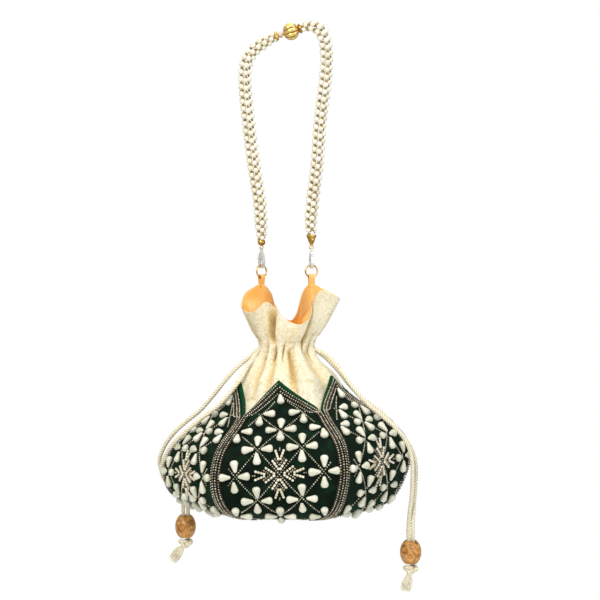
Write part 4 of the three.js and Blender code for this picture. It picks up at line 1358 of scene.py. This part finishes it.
for sideName in sides:
    bead = addWoodBead(sideName)
    knotted, knotMiddle = addKnot(sideName)
    frayed = addTail(sideName, knotMiddle)
    names = [name for name in drawcords["routes"] if name.startswith(sideName)]
    for order, name in enumerate(names):
        rope, centre, length = addCord(name)
print("drawcords made")


# Hardware

hardware = {
    "ballRadius": 7.4,
    "ballHalf": 6.8,
    "ballRibs": 10,
    "ballGroove": 0.2,      # depth as a share of the radius
    "glassRadius": 2.6,
    "glassHalf": 2.34,
    "glassAt": -9.44,       # along the ball's axis
    "threadBore": 1.1,
    "cupRadius": 4.4,
    "cupShift": -0.5,       # toward the ball
    "turns": {"left": math.radians(40), "right": math.radians(15)},
    "ringZ": -198.2,
    "ringRadius": 5.2,
    "ringWire": 0.62,
    "loopRadius": 1.7,
    "loopWire": 0.4,
    "loopDrop": 1.5,        # from the cap's foot to its loop's middle
    "capZ": -176.45,
    "capLengths": {"left": 5, "right": 9},
    "capRadii": {"left": 3.4, "right": 4.3},
    "tabFoot": -208.3,      # the tabs' lower ends are sewn in under the mouth's edge
    "tabSewnIn": 3,
    "hookEdge": 0.45,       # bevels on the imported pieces
    "gateEdge": 0.35,
    "tabEdge": 0.3,
}


# Three axes of a form threaded on the ball's axis, toward either side.
def ballAxes(sign=1):
    axis = ballAxis * sign
    return np.stack([np.cross((0, 1, 0), axis), (0, 1, 0), axis])


# An ellipse's outline from foot to top, never nearer the axis than the bore.
def beadOutline(radius, half, bore, count):
    t = np.linspace(-0.49, 0.49, count) * math.pi
    return [(max(bore, radius * math.cos(a)), half * math.sin(a)) for a in t]


# Fluted ball: round ribs with sharp grooves between them, |sin|^0.55 round it, drawn in at the bore.
def addBall():
    half, bore, segments = hardware["ballHalf"], hardware["threadBore"], 200
    outline = beadOutline(hardware["ballRadius"], half, bore, 45)
    profile = [(bore, 0), (bore, -half * 0.97), *outline, (bore, half * 0.97), (bore, 0)]

    def lobes(angle):
        return np.abs(np.sin(hardware["ballRibs"] / 2 * angle)) ** 0.55

    def ribs(angle, height):
        strength = hardware["ballGroove"] * np.sqrt(np.clip(1 - (height / half) ** 2, 0, 1))
        return 1 - strength * (1 - lobes(angle))

    # rib: 0 in the grooves, 1 on the crests; the material paints shade and highlight from it
    rib = np.tile(lobes(fullTurn(segments)), (len(profile), 1))
    made = addTurned("fluted_ball", "melon_ball", profile, ballAxes(), strap["ballCentre"], polished, "ball",
                     ribs, segments, {"rib": rib})


# A small glass bead, very slightly lobed.
def addPaleBead():
    bore = hardware["threadBore"]
    outline = beadOutline(hardware["glassRadius"], hardware["glassHalf"], bore, 24)

    def ribs(angle, height):
        return 1 + 0 * height - 0.03 * (1 - np.abs(np.cos(4 * angle)))

    made = addTurned("glass_bead", "pale_bead", [(bore, 0), *outline, (bore, 0)], ballAxes(),
                     alongBall(hardware["glassAt"]), paleGlass, "strap", ribs)


# A filigree cup that gathers one half's strands beside the ball; its rim is scalloped.
def addCup(side):
    shape = [(0.62, 0), (0.8, 1 / 12), (0.9, 0.4), (0.97, 0.75), (1, 0.95), (0.92, 1), (0.8, 0.9)]
    radius, length = hardware["cupRadius"], strap["cupLength"]
    profile = [(0.01, 0.1), *[(r * radius, z * length) for r, z in shape], (0.01, length * 0.6)]
    place = alongBall(strap["cupStart"][side] + sides[side] * hardware["cupShift"])

    def ribs(angle, height):
        return 1 - 0.07 * np.abs(np.sin(6 * angle)) * (height > 0.3)

    made = addTurned(f"petal_cup_{side}", f"gather_cup_{side}", profile, ballAxes(sides[side]), place,
                     filigree, "strap", ribs)


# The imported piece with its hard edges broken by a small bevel.
def smoothedCopy(node, name, material, body, width):
    source = bpy.data.objects[node]
    made = bpy.data.objects.new(name, source.data.copy())
    made.matrix_world = source.matrix_world
    bpy.context.scene.collection.objects.link(made)
    made.data.materials.clear()
    made.data.materials.append(material)
    bevel = made.modifiers.new("edges", "BEVEL")
    bevel.width = width * mm
    bevel.segments = 2
    bevel.limit_method = "ANGLE"
    bevel.angle_limit = math.radians(35)
    made.data.polygons.foreach_set("use_smooth", np.ones(len(made.data.polygons), dtype=bool))
    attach(made, body)
    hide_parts(node)
    return made


# A closed wire ring that stands upright, turned about Z: its centre line and its wire are both round.
def wireRing(centre, turn, radius, wire, steps, corners):
    t = tau * np.arange(steps + 1)[:, None] / steps
    along = np.array([math.cos(turn), math.sin(turn), 0])
    across = np.array([-math.sin(turn), math.cos(turn), 0])
    circle = np.cos(t) * along + np.sin(t) * upright[2]
    angle = fullTurn(corners)[:, None]
    points = centre + circle[:, None] * (radius + wire * np.cos(angle)) + wire * np.sin(angle) * across
    return points, gridFaces(steps + 1, corners, closed=True)[:, ::-1]


# A plain wire ring through the clasp's hook and the satin tab.
def addRing(side):
    centre = (sides[side] * strap["hangSpan"], 0, hardware["ringZ"])
    shape = wireRing(centre, hardware["turns"][side], hardware["ringRadius"], hardware["ringWire"], 96, 16)
    made = addObject(f"wire_ring_{side}", *shape, gold, body=f"ring_{side}_body")
    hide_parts(f"ring_{side}")


# Radius and height of each end cap's outline, as shares of its own.
capShapes = {
    "left": [(0.02, 0), (0.3, 0), (0.62, 0.1), (0.86, 0.25), (1, 0.5), (0.92, 0.72), (0.84, 0.86),
             (0.78, 0.98), (0.7, 1), (0.02, 0.9)],
    "right": [(0.02, 0), (0.28, 0), (0.34, 0.06), (0.3, 0.1), (0.42, 0.2), (0.6, 0.4), (0.72, 0.58),
              (0.7, 0.62), (0.86, 0.76), (1, 0.92), (0.97, 1), (0.9, 1), (0.86, 0.92), (0.02, 0.8)],
}


# End cap: a faceted bead on the left, a filigree cone on the right, over its wire loop.
def addCap(side):
    length, radius = hardware["capLengths"][side], hardware["capRadii"][side]
    profile = [(r * radius, z * length) for r, z in capShapes[side]]
    place = np.array([sides[side] * strap["hangSpan"], 0, hardware["capZ"]])

    def facets(angle, height):
        return 1 - 0.06 * np.abs(np.sin(5 * angle + 3 * height / length))

    def flutes(angle, height):
        return 1 - 0.09 * np.abs(np.sin(4 * angle)) * np.clip(height / length, 0, 1)

    made = addTurned(f"cap_body_{side}", f"end_cap_{side}", profile, upright, place, filigree, "strap",
                     facets if side == "left" else flutes)
    shape = wireRing(place - (0, 0, hardware["loopDrop"]), hardware["turns"][side], hardware["loopRadius"],
                     hardware["loopWire"], 64, 10)
    loop = addObject(f"cap_loop_{side}", *shape, gold, body="strap")


addBall()
addPaleBead()
for sideName in sides:
    addCup(sideName)
    addRing(sideName)
    addCap(sideName)
    hook = smoothedCopy(f"clasp_{sideName}", f"hook_{sideName}", silver, f"clasp_{sideName}_body",
                        hardware["hookEdge"])
    gate = smoothedCopy(f"clasp_lever_{sideName}", f"gate_{sideName}", silver, f"lever_{sideName}_body",
                        hardware["gateEdge"])
    tab = smoothedCopy(f"ring_tab_{sideName}", f"satin_tab_{sideName}", satin, "bag", hardware["tabEdge"])
    for vertex in tab.data.vertices:
        if vertex.co.z < hardware["tabFoot"] * mm:
            vertex.co.z -= hardware["tabSewnIn"] * mm
for name, material in (("strap_core", cordYarn), ("velvet_base", velvet), ("lining_base", satin)):
    carried = bpy.data.objects[name]
    carried.data.materials.clear()
    carried.data.materials.append(material)
print("hardware made")


# Stage

floorSize = 0.9         # metres
floorPlace = (0, -0.12, -0.6)
lit = (0, 0, -260)      # what the lights are turned to
bpy.ops.mesh.primitive_grid_add(x_subdivisions=2, y_subdivisions=2, size=floorSize, location=floorPlace)
floor = bpy.context.object
floor.name = "floor"
floor.data.materials.append(floorMaterial())
addCamera()
addWorld()
addLight("key light", (-500, -1200, 500), lit, 0.9, 16, "#fffaf2")
addLight("fill light", (1000, -900, 0), lit, 1.0, 6, "#f6faff")
addLight("top light", (100, -100, 900), lit, 0.8, 6)
bpy.context.scene.view_settings.view_transform = "Standard"
